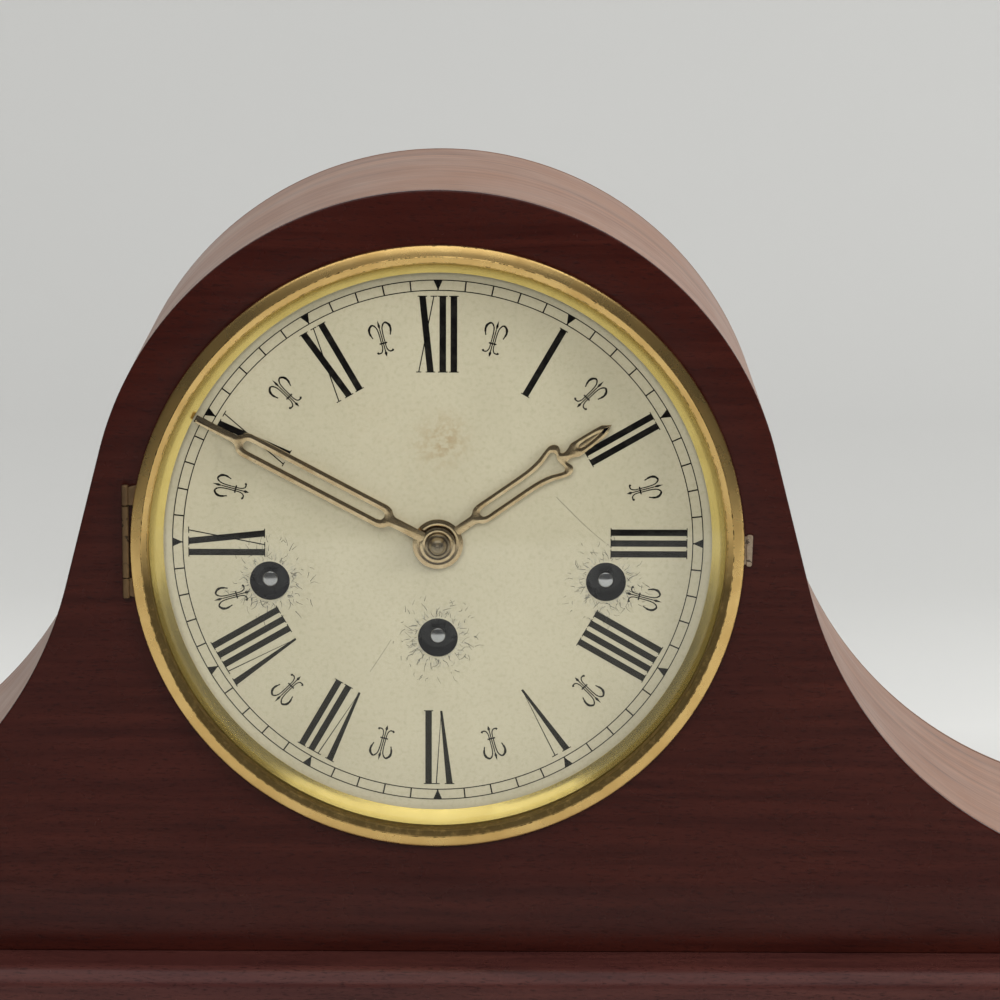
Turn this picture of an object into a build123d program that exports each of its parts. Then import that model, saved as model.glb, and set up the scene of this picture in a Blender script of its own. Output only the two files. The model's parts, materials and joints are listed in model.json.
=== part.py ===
from build123d import *
import os
from math import atan2, cos, degrees, hypot, radians, sin, sqrt

# Tambour mantel clock, millimetres. The pieces are modelled about the dial centre: +X right, +Y back from the
# face of the front panel, +Z up. The finished part stands with its origin under the middle of the base.

# Case: front outline, panels and base
hump_margin = 10.3  # bezel rim to the top of the hump, on the hump radius
hump_rise = 3.2  # hump centre above the dial centre
hump_leave = 75.56  # degrees from the vertical where the hump turns into the straight flank
flank_run = 36.4
cove_radius = 101.4
wing_run = 19.7  # flat of each wing beyond the foot of the cove
wing_rise = 19.73  # wing top above the underside of the body
wing_end_round = 8.0
panel_thickness = 9.0
panel_facing = 2.0  # thickness of the panel that covers the edge of the skin
skin_thickness = 5.0
glue_gap = 0.1
base_overhang = 8.0  # base beyond each end of the body
base_step = 16.6  # base beyond the front and the back
base_thickness = 12.0
base_edge_round = 5.0
foot_height = 4.0
foot_radius = 13.0
foot_inset = 22.0
block_length = 46.0
block_clear = 2.73  # block to the skin above it
block_inset = 14.0  # block end back from the end of the body

# Bezel, glass and dial
bezel_outer = 77.5
bezel_band = 2.5  # rim in to the ridge
lip_width = 0.8  # ridge in to the lip
lip_drop = 0.9  # lip back from the ridge
ridge_stand = 2.6
ridge_flat = 0.8
flange_edge = 0.6
flange_gap = 0.3
skirt_inset = 2.8  # rim in to the outside of the skirt
throat_step = 1.7  # skirt in to the throat
throat_depth = 1.2
skirt_wall = 0.8
skirt_depth = 5.4
hole_gap = 0.7  # skirt to panel hole
glass_thickness = 1.7
glass_rise = 6.3
glass_gap = 0.2
sight_width = 3.4
sight_land = 0.6
sight_front_wall = 0.7
hinge_radius = 0.9
hinge_stand = 1.05  # hinge axis beyond the bezel rim
hinge_top = 16.4
hinge_bottom = -12.7
hinge_leaf_top = 10.9
hinge_leaf_bottom = -7.3
hinge_pin_radius = 0.4
running_gap = 0.05
knuckle_gap = 0.3
tang_thickness = 0.7
tang_depth = 6.0
ear_thickness = 1.1
ear_root = 4.1  # reach of each ear from the hinge axis into the bezel flange
tab_reach = 2.1
tab_half_height = 4.1
tab_thickness = 0.9
dial_depth = 7.5
dial_thickness = 0.8
dial_gap = 0.8
dial_foot_radius = 1.6
dial_foot_places = [(45.0, 32.0), (-45.0, 32.0), (30.0, -44.0), (-30.0, -44.0)]
dial_centre_hole = 4.0
winding_hole = 5.1

# Hands, as they stand in the photo: ten to two
minute_angle = 298.0
hour_angle = 54.83
hand_thickness = 0.6
hand_gap = 0.8
hour_stand = 1.3  # hour hand ahead of the dial
hour_hub = 6.4
hour_neck_width = 2.3
hour_neck_end = 11.6
hour_body_width = 5.2
hour_bar = 1.45
hour_shoulder = 37.9
hour_shoulder_width = 9.1
hour_waist = 40.4
hour_waist_width = 2.2
hour_leaf = 42.7
hour_leaf_width = 3.9
hour_tip_width = 2.7
hour_length = 53.6
minute_hub = 4.5
minute_neck_width = 2.6
minute_neck_end = 13.6
minute_body_width = 6.2
minute_bar = 1.8
minute_body_end = 57.3
minute_pointer_width = 2.1
minute_clear = 0.4  # minute hand tip to the sight ring
nut_radius = 3.1
nut_length = 2.6
shaft_stand = 0.8  # end of the centre arbor ahead of the nut

# Movement: plates and posts
dial_to_plate = 8.2
plate_thickness = 2.0
plate_spacing = 30.0
plate_half_width = 66.0
plate_top = 52.0
plate_bottom = -54.0
plate_top_cut = 14.0
plate_bottom_cut = 8.0
pillar_radius = 3.0
pillar_top_inset = (14.0, 12.0)
pillar_bottom_inset = (6.0, 7.0)
rivet_radius = 1.8
lug_width = 9.0
lug_root_inset = (16.0, 10.0)
lug_seat = 4.5  # screw beyond the edge of the panel hole, upper lugs
lug_lean = 47.0
lower_lug_root_inset = (12.0, 8.0)
lower_lug_drop = 8.0
lower_lug_side = 4.0
screw_radius = 1.6
screw_head_radius = 3.4
screw_head_length = 1.8
screw_hole_gap = 0.1
screw_bite = 5.0

# Movement: trains. Arbors run between the plates, parallel to Y.
arbor_radius = 1.0
side_hole_x = 42.8
side_hole_z = -10.1
centre_hole_z = -24.8
great_teeth = 80
great_module = 0.54
second_leaves = 10
barrel_radius = 20.0
barrel_wall = 1.2
barrel_depth = 16.4
barrel_front = 5.5  # front plate to the great wheels
wheel_thickness = 1.4
leaf_overhang = 0.5  # pinion beyond each face of the wheel it meets
winding_radius = 3.0
winding_square = 3.6
winding_reach = 2.0  # dial back to the end of the square
ratchet_tip = 9.0
ratchet_root = 7.6
ratchet_teeth = 24
ratchet_thickness = 2.0
ratchet_gap = 0.9  # ratchet to front plate
spring_gap = 0.6
click_gap = 0.15
click_reach = 11.0
click_boss = 2.2
click_post = 1.2
intermediate_lean = 45.5  # degrees from the vertical, seen from the time barrel
intermediate_teeth = 60
centre_leaves = 10
intermediate_front = 1.5
centre_teeth = 84
third_leaves = 7
centre_module = 0.41
third_lean = -30.0
third_teeth = 80
escape_leaves = 7
third_module = 0.38
third_front = 21.5
escape_teeth = 40
escape_tip = 12.0
escape_root = 10.2
escape_front = 14.5
rear_wheel_front = 25.5  # front plate to the rear wheels of all three trains
anchor_rise = 16.0
second_teeth = 60
second_module = 0.5
fly_leaves = 8
fly_half_width = 6.5
fly_length = 12.0
fly_thickness = 0.6
fly_front = 9.5
strike_lean = 0.0
strike_fly_lean = 45.0
chime_lean = 180.0
chime_fly_lean = 225.0
motion_distance = 15.0
cannon_leaves = 12
minute_wheel_teeth = 36
minute_pinion_leaves = 10
hour_wheel_teeth = 40
cannon_pipe = 1.9
hour_pipe = 2.9
minute_post = 1.5
motion_gap = 0.3

# Tooth form: widths are shares of one tooth space, heights are in modules
tooth_root_share = 0.46
tooth_tip_share = 0.2
addendum = 0.8
dedendum = 1.15
spoke_count = 5
spoke_width = 2.4
rim_width = 1.9
hub_margin = 2.6

# Pendulum, hammers and rods
pendulum_length = 107.0
pendulum_gap = 6.5  # back plate to the middle of the rod
rod_radius = 1.0
bob_radius = 14.0
bob_thickness = 8.0
rating_radius = 4.0
rating_height = 4.2
rating_gap = 0.3
thread_reach = 4.0
suspension_length = 6.0
suspension_width = 4.0
suspension_thickness = 0.3
cock_width = 12.0
cock_height = 7.0
cock_clear = 2.6  # underside of the cock above the swing axis
cock_slot = 1.6
crutch_drop = 26.0
crutch_width = 2.0
crutch_gap = 1.0
crutch_thickness = 1.5
fork_radius = 0.6
fork_gap = 0.2
fork_reach = 2.5
pallet_gap = 1.5
pallet_lean = 50.0
pallet_arc = 10.0
anchor_boss = 2.0
drum_radius = 7.0
drum_pin_radius = 0.6
drum_pin_stand = 1.5
drum_pin_count = 6
hammer_count = 4
hammer_pitch = 4.6
nut_clear = 1.0  # rating nut to the first rod
hammer_thickness = 2.4
hammer_pivot = (58.0, -56.0)
hammer_pivot_radius = 1.5
hammer_head = (34.0, -80.0)
hammer_head_radius = 1.8
hammer_head_length = 11.0
hammer_strip = 2.4
tail_clear = 0.7
chime_rod_radius = 1.3
chime_rod_overrun = 18.0  # longest rod beyond the hammer heads
chime_rod_step = 4.0
rod_gap = 0.9  # resting hammer to its rod
rod_block_gap = 3.0  # rod block to the corner blocks
rod_block_length = 20.0
rod_block_height = 22.0
rod_block_edge = 3.0
rod_room = 4.7  # last rod to the back panel

# Back door
door_radius = 72.0
door_thickness = 6.0
door_gap = 0.3
door_opening = 64.0
door_hinge_x = -74.0
door_hinge_radius = 1.8
door_hinge_half = 15.0
door_leaf_half = 6.0
door_leaf_reach = 16.0
case_leaf_reach = 11.0
leaf_thickness = 1.0
button_x = 77.5
button_boss = 3.0
button_half_length = 10.0
button_half_width = 2.4
button_thickness = 2.2


# Places that follow from the sizes above
bezel_ridge = bezel_outer - bezel_band
skirt_outer = bezel_outer - skirt_inset
throat_radius = skirt_outer - throat_step
skirt_inner = skirt_outer - skirt_wall
sight_inner = throat_radius - sight_width
panel_hole = skirt_outer + hole_gap
dial_radius = panel_hole - dial_gap
minute_length = sight_inner - minute_clear
hinge_x = -bezel_outer - hinge_stand
hinge_y = -flange_gap - hinge_radius
hump_radius = bezel_outer + hump_margin
hump_turn = radians(hump_leave)
cove_x = (hump_radius + cove_radius) * sin(hump_turn) + flank_run * cos(hump_turn)
cove_z = hump_rise + (hump_radius + cove_radius) * cos(hump_turn) - flank_run * sin(hump_turn)
body_half_width = cove_x + wing_run
body_drop = cove_radius - cove_z + wing_rise
base_half_width = body_half_width + base_overhang
dial_back = dial_depth + dial_thickness
front_plate_y = dial_back + dial_to_plate
between_y = front_plate_y + plate_thickness
back_plate_y = between_y + plate_spacing
behind_y = back_plate_y + plate_thickness
hammer_first = behind_y + pendulum_gap + rating_radius + nut_clear + chime_rod_radius
hammer_ys = [hammer_first + k * hammer_pitch for k in range(hammer_count)]
inner_back = hammer_ys[-1] + rod_room
body_depth = inner_back + panel_thickness
base_depth = body_depth + 2 * base_step
face_y = -body_depth / 2
dial_z = foot_height + base_thickness + body_drop
block_side = wing_rise - skin_thickness - block_clear
block_end = body_half_width - skin_thickness - block_inset
rod_block_x = rod_block_length + rod_block_gap + block_length - block_end  # face that the rods leave
chime_rod_first = hammer_head[0] - rod_block_x + chime_rod_overrun


# A point at a distance from an origin; lean is degrees clockwise from the vertical, seen from the front
def polar(distance, lean, origin=(0.0, 0.0)):
    return (origin[0] + distance * sin(radians(lean)), origin[1] + distance * cos(radians(lean)))


# A flat outline in the XZ plane, given thickness from y_front to y_back
def slab(sketch, y_front, y_back):
    return extrude(Plane.XZ.offset(-y_back) * sketch, y_back - y_front)


def disc(radius, y_front, y_back, centre=(0.0, 0.0)):
    return slab(Pos(*centre) * Circle(radius), y_front, y_back)


def upright(radius, z_low, z_high, x, y):
    return Pos(x, y, (z_low + z_high) / 2) * Cylinder(radius, z_high - z_low)


def block(x_span, y_span, z_span):
    middle = [(low + high) / 2 for low, high in (x_span, y_span, z_span)]
    size = [high - low for low, high in (x_span, y_span, z_span)]
    return Pos(*middle) * Box(*size)


# A closed section in radius and depth, turned about the dial axis
def spun(edges):
    return revolve(make_face(edges), Axis.Y, 360)


def save(node, solid):
    placed = Pos(0, face_y, dial_z) * solid
    placed.label = node
    export_step(placed, f"parts/{node}.step")


# Several separate solids in one node
def group(solids):
    return Compound(children=[s.solid() for s in solids])


# Front outline of the case, drawn in by an inset along the hump, the flanks and the wings
def case_face(inset):
    half = hump_turn / 2
    hump = hump_radius - inset
    cove = cove_radius + inset
    end_round = wing_end_round - inset
    end_x = body_half_width - inset
    wing_z = cove_z - cove
    turn_x = end_x - end_round
    turn_z = wing_z - end_round
    diagonal = end_round * sqrt(0.5)
    edges = [Line((-end_x, -body_drop), (end_x, -body_drop))]
    for side in (1, -1):
        crest = (0, hump_rise + hump)
        hump_mid = (side * hump * sin(half), hump_rise + hump * cos(half))
        leave = (side * hump * sin(hump_turn), hump_rise + hump * cos(hump_turn))
        meet = (side * (cove_x - cove * sin(hump_turn)), cove_z - cove * cos(hump_turn))
        cove_mid = (side * (cove_x - cove * sin(half)), cove_z - cove * cos(half))
        dip = (side * cove_x, wing_z)
        tip = (side * turn_x, wing_z)
        turn_mid = (side * (turn_x + diagonal), turn_z + diagonal)
        turn_end = (side * end_x, turn_z)
        edges.append(ThreePointArc(crest, hump_mid, leave))
        edges.append(Line(leave, meet))
        edges.append(ThreePointArc(meet, cove_mid, dip))
        edges.append(Line(dip, tip))
        edges.append(ThreePointArc(tip, turn_mid, turn_end))
        edges.append(Line(turn_end, (side * end_x, -body_drop)))
    return make_face(edges)


# Root and screw of each lug on the front plate
def lug_list():
    upper_root = (plate_half_width - lug_root_inset[0], plate_top - lug_root_inset[1])
    lower_root = (plate_half_width - lower_lug_root_inset[0], plate_bottom + lower_lug_root_inset[1])
    lower_screw = (plate_half_width - lower_lug_side, plate_bottom - lower_lug_drop)
    lugs = [(upper_root, polar(panel_hole + lug_seat, lug_lean)), (lower_root, lower_screw)]
    return [((side * a[0], a[1]), (side * b[0], b[1])) for a, b in lugs for side in (1, -1)]


def pillar_list():
    top = (plate_half_width - pillar_top_inset[0], plate_top - pillar_top_inset[1])
    bottom = (plate_half_width - pillar_bottom_inset[0], plate_bottom + pillar_bottom_inset[1])
    return [(side * x, z) for x, z in (top, bottom) for side in (1, -1)]


# Case
def front_panel():
    facing = slab(case_face(0), 0, panel_facing)
    core = slab(case_face(skin_thickness + glue_gap), panel_facing, panel_thickness)
    slot = block(
        (hinge_x - tang_thickness / 2 - glue_gap, hinge_x + tang_thickness / 2 + glue_gap),
        (-glue_gap, tang_depth + glue_gap),
        (hinge_leaf_bottom - glue_gap, hinge_leaf_top + glue_gap),
    )
    panel = facing + core - disc(panel_hole, 0, panel_thickness) - slot
    for _, pad in lug_list():
        bite_end = panel_thickness - screw_bite - glue_gap
        panel -= disc(screw_radius + screw_hole_gap, bite_end, panel_thickness, pad)
    return panel


def back_panel():
    core = slab(case_face(skin_thickness + glue_gap), inner_back, body_depth - panel_facing)
    facing = slab(case_face(0), body_depth - panel_facing, body_depth)
    return core + facing - disc(door_opening, inner_back, body_depth)


def top_skin():
    y_span = (panel_facing, body_depth - panel_facing)
    return slab(case_face(0), *y_span) - slab(case_face(skin_thickness), *y_span)


def base_board():
    half = base_depth / 2
    middle = body_depth / 2
    board = block(
        (-base_half_width, base_half_width),
        (middle - half, middle + half),
        (-body_drop - base_thickness, -body_drop),
    )
    board = fillet(board.edges().filter_by(Axis.Z), base_edge_round * 2)
    return fillet(board.edges().group_by(Axis.Z)[-1], base_edge_round)


def feet():
    top = -body_drop - base_thickness
    x = base_half_width - foot_inset
    y_places = [body_depth / 2 + s * (base_depth / 2 - foot_inset) for s in (1, -1)]
    return group([upright(foot_radius, top - foot_height, top, s * x, y) for s in (1, -1) for y in y_places])


def corner_blocks():
    spans = [(panel_thickness, panel_thickness + block_side), (inner_back - block_side, inner_back)]
    blocks = []
    for x_span in ((block_end - block_length, block_end), (-block_end, block_length - block_end)):
        for y_span in spans:
            blocks.append(block(x_span, y_span, (-body_drop, block_side - body_drop)))
    return group(blocks)


# Bezel and its hinge
def bezel_ring():
    edge_y = -flange_gap - flange_edge
    band_mid = ((bezel_outer + bezel_ridge) / 2 + ridge_flat / 4, (edge_y - ridge_stand) / 2 - ridge_flat / 2)
    nose = (bezel_ridge - ridge_flat / 2, -ridge_stand - ridge_flat / 4)
    nose_in = (bezel_ridge - ridge_flat, -ridge_stand)
    lip = (bezel_ridge - ridge_flat - lip_width, lip_drop - ridge_stand)
    ring = spun([
        Line((skirt_outer, skirt_depth), (skirt_outer, -flange_gap)),
        Line((skirt_outer, -flange_gap), (bezel_outer, -flange_gap)),
        Line((bezel_outer, -flange_gap), (bezel_outer, edge_y)),
        ThreePointArc((bezel_outer, edge_y), band_mid, (bezel_ridge, -ridge_stand)),
        ThreePointArc((bezel_ridge, -ridge_stand), nose, nose_in),
        Line(nose_in, lip),
        Line(lip, (throat_radius, throat_depth)),
        Line((throat_radius, throat_depth), (skirt_inner, throat_depth)),
        Line((skirt_inner, throat_depth), (skirt_inner, skirt_depth)),
        Line((skirt_inner, skirt_depth), (skirt_outer, skirt_depth)),
    ])
    ear_spans = [(hinge_leaf_top + knuckle_gap, hinge_top), (hinge_bottom, hinge_leaf_bottom - knuckle_gap)]
    ear_y = (-flange_gap - ear_thickness, -flange_gap)
    for span in ear_spans:
        ring += upright(hinge_radius, *span, hinge_x, hinge_y)
        ring += block((hinge_x, hinge_x + ear_root), ear_y, span)
    tab_y = (-flange_gap - tab_thickness, -flange_gap)
    ring += block((bezel_ridge, bezel_outer + tab_reach), tab_y, (-tab_half_height, tab_half_height))
    return ring - upright(hinge_pin_radius + running_gap, hinge_bottom, hinge_top, hinge_x, hinge_y)


def bezel_hinge_leaf():
    half = tang_thickness / 2
    span = (hinge_leaf_bottom, hinge_leaf_top)
    leaf = upright(hinge_radius, *span, hinge_x, hinge_y)
    leaf += block((hinge_x - half, hinge_x + half), (hinge_y, tang_depth), span)
    return leaf - upright(hinge_pin_radius + running_gap, *span, hinge_x, hinge_y)


def bezel_hinge_pin():
    return upright(hinge_pin_radius, hinge_bottom, hinge_top, hinge_x, hinge_y)


rim_radius = skirt_inner - glass_gap
rim_front = throat_depth + glue_gap
rim_back = rim_front + glass_thickness
sight_back = skirt_depth - glass_gap


# Middle point of a shallow dome's half arc, for an arc that falls by glass_rise from the axis to the rim
def dome_mid(apex):
    sphere = (rim_radius**2 + glass_rise**2) / (2 * glass_rise)
    reach = rim_radius / 2
    return (reach, apex + sphere - sqrt(sphere**2 - reach**2))


def bezel_glass():
    apex_front = rim_front - glass_rise
    apex_back = rim_back - glass_rise
    return spun([
        Line((0, apex_front), (0, apex_back)),
        ThreePointArc((0, apex_back), dome_mid(apex_back), (rim_radius, rim_back)),
        Line((rim_radius, rim_back), (rim_radius, rim_front)),
        ThreePointArc((rim_radius, rim_front), dome_mid(apex_front), (0, apex_front)),
    ])


def sight_ring():
    front = rim_back + glue_gap
    shelf = rim_radius - sight_front_wall
    land = sight_back - sight_land
    cove_mid = ((shelf + sight_inner) / 2, front + (land - front) * 2 / 3)
    return spun([
        Line((rim_radius, front), (shelf, front)),
        ThreePointArc((shelf, front), cove_mid, (sight_inner, land)),
        Line((sight_inner, land), (sight_inner, sight_back)),
        Line((sight_inner, sight_back), (rim_radius, sight_back)),
        Line((rim_radius, sight_back), (rim_radius, front)),
    ])


winding_places = {
    "time": (0.0, centre_hole_z),
    "strike": (-side_hole_x, side_hole_z),
    "chime": (side_hole_x, side_hole_z),
}


def dial_plate():
    dial = disc(dial_radius, dial_depth, dial_back) - disc(dial_centre_hole, dial_depth, dial_back)
    for place in winding_places.values():
        dial -= disc(winding_hole, dial_depth, dial_back, place)
    for place in dial_foot_places:
        dial += disc(dial_foot_radius, dial_back, front_plate_y, place)
    return dial


# Hands: outlines drawn pointing to twelve, then turned to the time in the photo
def hand_slab(sketch, angle, y_front):
    return Rot(0, angle, 0) * slab(sketch, y_front, y_front + hand_thickness)


def mirrored(points):
    return points + [(-x, z) for x, z in reversed(points) if x]


def polygon(points):
    return make_face(Polyline(*points, close=True))


hour_hand_y = dial_depth - hour_stand - hand_thickness
minute_hand_y = hour_hand_y - hand_gap - hand_thickness
nut_y = minute_hand_y - nut_length


def hour_hand():
    half = hour_body_width / 2
    flare = hour_shoulder - hour_shoulder_width
    lobe = hour_shoulder_width / 4
    frame = polygon(mirrored([
        (hour_neck_width / 2, 0),
        (hour_neck_width / 2, hour_neck_end),
        (half, hour_neck_end + hour_bar),
        (half, flare),
        (half + lobe / 4, flare + lobe),
        (2 * lobe, hour_shoulder),
        (2 * lobe - hour_bar / 4, hour_shoulder + hour_bar),
        (lobe, hour_shoulder + hour_bar),
        (hour_waist_width / 2, hour_waist),
        (hour_leaf_width / 2, hour_leaf),
        (hour_tip_width / 2, hour_length - hour_tip_width / 2),
        (0, hour_length),
    ]))
    slot = polygon(mirrored([
        (half - hour_bar, hour_neck_end + 2 * hour_bar),
        (half - hour_bar, flare),
        (half - hour_bar + lobe / 4, flare + lobe),
        (2 * lobe - hour_bar, hour_shoulder),
        (lobe, hour_shoulder + hour_bar / 4),
        (0, hour_shoulder - hour_bar / 2),
    ]))
    outline = frame - slot + Circle(hour_hub) - Circle(hour_pipe + running_gap)
    return hand_slab(outline, hour_angle, hour_hand_y)


def minute_hand():
    middle = (minute_neck_end + minute_body_end) / 2
    span = minute_body_end - minute_neck_end
    slot_width = minute_body_width - 2 * minute_bar
    frame = Pos(0, middle) * SlotOverall(span, minute_body_width, rotation=90)
    slot = Pos(0, middle) * SlotOverall(span - 2 * minute_bar, slot_width, rotation=90)
    neck = Pos(0, minute_neck_end / 2) * Rectangle(minute_neck_width, minute_neck_end + minute_bar)
    pointer_span = minute_length - minute_body_end + minute_bar
    pointer = Pos(0, minute_length - pointer_span / 2) * Rectangle(minute_pointer_width, pointer_span)
    outline = neck + frame - slot + pointer + Circle(minute_hub) - Circle(cannon_pipe + running_gap)
    return hand_slab(outline, minute_angle, minute_hand_y)


def hand_nut():
    nut = disc(nut_radius, nut_y, minute_hand_y)
    nut = chamfer(nut.edges().group_by(Axis.Y)[0], nut_length / 4)
    return nut - disc(arbor_radius + running_gap / 2, nut_y, minute_hand_y)


# Wheels and pinions
def lean_to(start, end):
    return degrees(atan2(end[0] - start[0], end[1] - start[1]))


# Toothed outline about its own centre, with one tooth centred at the lean
def toothed(teeth, module, lean):
    pitch = teeth * module / 2
    step = 360 / teeth
    root = pitch - dedendum * module
    tip = pitch + addendum * module
    right = [(tip, tooth_tip_share), (root, tooth_root_share)]
    corners = [(root, -tooth_root_share), (tip, -tooth_tip_share)] + right
    points = [polar(r, lean + step * (k + share / 2)) for k in range(teeth) for r, share in corners]
    return polygon(points)


# Windows between the spokes of a wheel
def windows(rim, hub):
    gap = Circle(rim) - Circle(hub)
    for k in range(spoke_count):
        gap -= Rot(0, 0, k * 360 / spoke_count) * Pos(0, rim / 2) * Rectangle(spoke_width, rim)
    return gap


def wheel(teeth, module, centre, mate, y_front, hub):
    root = teeth * module / 2 - dedendum * module
    outline = toothed(teeth, module, lean_to(centre, mate)) - windows(root - rim_width, hub + hub_margin)
    return slab(Pos(*centre) * outline, y_front, y_front + wheel_thickness)


# A pinion has a space, not a tooth, on the line to its mate
def pinion(leaves, module, centre, mate, y_front, y_back):
    lean = lean_to(centre, mate) + 180 / leaves
    return slab(Pos(*centre) * toothed(leaves, module, lean), y_front, y_back)


def meeting(wheel_y):
    return (wheel_y - leaf_overhang, wheel_y + wheel_thickness + leaf_overhang)


def arbor(centre):
    return disc(arbor_radius, front_plate_y, behind_y, centre)


middle = (0.0, 0.0)
great_y = between_y + barrel_front
intermediate_y = between_y + intermediate_front
third_y = between_y + third_front
escape_y = between_y + escape_front
rear_y = between_y + rear_wheel_front
second_distance = (great_teeth + second_leaves) * great_module / 2
intermediate_place = polar(second_distance, intermediate_lean, winding_places["time"])
intermediate_module = 2 * hypot(*intermediate_place) / (intermediate_teeth + centre_leaves)
third_place = polar((centre_teeth + third_leaves) * centre_module / 2, third_lean)
escape_distance = (third_teeth + escape_leaves) * third_module / 2
escape_place = (0.0, third_place[1] + sqrt(escape_distance**2 - third_place[0] ** 2))
anchor_place = (0.0, escape_place[1] + anchor_rise)
fly_distance = (second_teeth + fly_leaves) * second_module / 2
second_places = {
    "strike": polar(second_distance, strike_lean, winding_places["strike"]),
    "chime": polar(second_distance, chime_lean, winding_places["chime"]),
}
fly_places = {
    "strike": polar(fly_distance, strike_fly_lean, second_places["strike"]),
    "chime": polar(fly_distance, chime_fly_lean, second_places["chime"]),
}
arbor_places = [middle, intermediate_place, third_place, escape_place, anchor_place]
arbor_places += list(second_places.values()) + list(fly_places.values())
barrel_mates = {"time": intermediate_place, **second_places}
minute_wheel_place = (0.0, motion_distance)
ratchet_y = front_plate_y - ratchet_gap - ratchet_thickness
click_turns = {"time": 180.0, "strike": 0.0, "chime": -90.0}


def barrel(train):
    centre = winding_places[train]
    drum_y = great_y + wheel_thickness
    drum_back = drum_y + barrel_depth
    teeth = toothed(great_teeth, great_module, lean_to(centre, barrel_mates[train]))
    shell = slab(Pos(*centre) * teeth, great_y, drum_y) + disc(barrel_radius, drum_y, drum_back, centre)
    shell -= disc(barrel_radius - barrel_wall, drum_y, drum_back - barrel_wall, centre)
    return shell - disc(winding_radius + running_gap, great_y, drum_back, centre)


def mainspring(train):
    centre = winding_places[train]
    floor = great_y + wheel_thickness
    y_span = (floor + spring_gap, floor + barrel_depth - barrel_wall - spring_gap)
    outer = barrel_radius - barrel_wall - spring_gap
    return disc(outer, *y_span, centre) - disc(winding_radius + spring_gap, *y_span, centre)


def ratchet_outline():
    step = 360 / ratchet_teeth
    return polygon([polar(r, k * step) for k in range(ratchet_teeth) for r in (ratchet_tip, ratchet_root)])


def winding_arbor(train):
    centre = winding_places[train]
    square_y = dial_back + winding_reach
    square = slab(Pos(*centre) * Rectangle(winding_square, winding_square), square_y, ratchet_y)
    ratchet = slab(Pos(*centre) * ratchet_outline(), ratchet_y, ratchet_y + ratchet_thickness)
    return square + ratchet + disc(winding_radius, ratchet_y, behind_y, centre)


# Pivot of a click, and a point of its outline, turned about the winding arbor
def click_point(train, point):
    return polar(hypot(*point), degrees(atan2(*point)) + click_turns[train], winding_places[train])


def click(train):
    step = 360 / ratchet_teeth
    nose = click_gap
    outline = [
        (nose, ratchet_root + 2 * click_gap),
        polar(ratchet_tip + 3 * click_gap, step),
        polar(ratchet_tip + click_boss / 2, 2 * step),
        (click_reach, ratchet_root - click_boss / 2),
        (click_reach, ratchet_root + click_boss),
        polar(ratchet_tip + click_boss, step),
        (nose, ratchet_tip + click_gap),
    ]
    pivot = click_point(train, (click_reach, ratchet_root))
    face = polygon([click_point(train, p) for p in outline]) + Pos(*pivot) * Circle(click_boss)
    face -= Pos(*pivot) * Circle(click_post + running_gap)
    return slab(face, ratchet_y, ratchet_y + ratchet_thickness)


# Motion work between the dial and the front plate
cannon_module = 2 * motion_distance / (cannon_leaves + minute_wheel_teeth)
hour_module = 2 * motion_distance / (minute_pinion_leaves + hour_wheel_teeth)
minute_wheel_y = front_plate_y - motion_gap - leaf_overhang - wheel_thickness
hour_wheel_y = minute_wheel_y - motion_gap - leaf_overhang - wheel_thickness


def cannon_pinion():
    front, back = meeting(minute_wheel_y)
    leaves = pinion(cannon_leaves, cannon_module, middle, minute_wheel_place, front, back)
    pipe = disc(cannon_pipe, minute_hand_y, back)
    return leaves + pipe - disc(arbor_radius + running_gap / 2, minute_hand_y, back)


def minute_wheel():
    front, back = meeting(hour_wheel_y)
    body = wheel(minute_wheel_teeth, cannon_module, minute_wheel_place, middle, minute_wheel_y, minute_post)
    body += pinion(minute_pinion_leaves, hour_module, minute_wheel_place, middle, front, minute_wheel_y)
    bore_end = back + wheel_thickness + motion_gap
    return body - disc(minute_post + running_gap, front, bore_end, minute_wheel_place)


def hour_wheel():
    body = wheel(hour_wheel_teeth, hour_module, middle, minute_wheel_place, hour_wheel_y, hour_pipe)
    body += disc(hour_pipe, hour_hand_y, hour_wheel_y + wheel_thickness)
    return body - disc(cannon_pipe + running_gap, hour_hand_y, hour_wheel_y + wheel_thickness)


# Going train
def centre_arbor():
    body = disc(arbor_radius, nut_y - shaft_stand, behind_y)
    body += wheel(centre_teeth, centre_module, middle, third_place, rear_y, arbor_radius)
    y_span = meeting(intermediate_y)
    return body + pinion(centre_leaves, intermediate_module, middle, intermediate_place, *y_span)


def intermediate_wheel():
    place = intermediate_place
    body = wheel(intermediate_teeth, intermediate_module, place, middle, intermediate_y, arbor_radius)
    body += pinion(second_leaves, great_module, place, winding_places["time"], *meeting(great_y))
    return body + arbor(place)


def third_wheel():
    body = wheel(third_teeth, third_module, third_place, escape_place, third_y, arbor_radius)
    body += pinion(third_leaves, centre_module, third_place, middle, *meeting(rear_y))
    return body + arbor(third_place)


def escape_wheel():
    step = 360 / escape_teeth
    teeth = polygon([polar(r, k * step + lean) for k in range(escape_teeth)
                     for r, lean in ((escape_root, -step / 2), (escape_tip, 0), (escape_root, step / 8))])
    rim = teeth - windows(escape_root - rim_width, arbor_radius + hub_margin)
    body = slab(Pos(*escape_place) * rim, escape_y, escape_y + wheel_thickness)
    body += pinion(escape_leaves, third_module, escape_place, third_place, *meeting(third_y))
    return body + arbor(escape_place)


# Strike and chime trains
def second_wheel(train):
    place = second_places[train]
    body = wheel(second_teeth, second_module, place, fly_places[train], rear_y, arbor_radius)
    body += pinion(second_leaves, great_module, place, winding_places[train], *meeting(great_y))
    return body + arbor(place)


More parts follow.
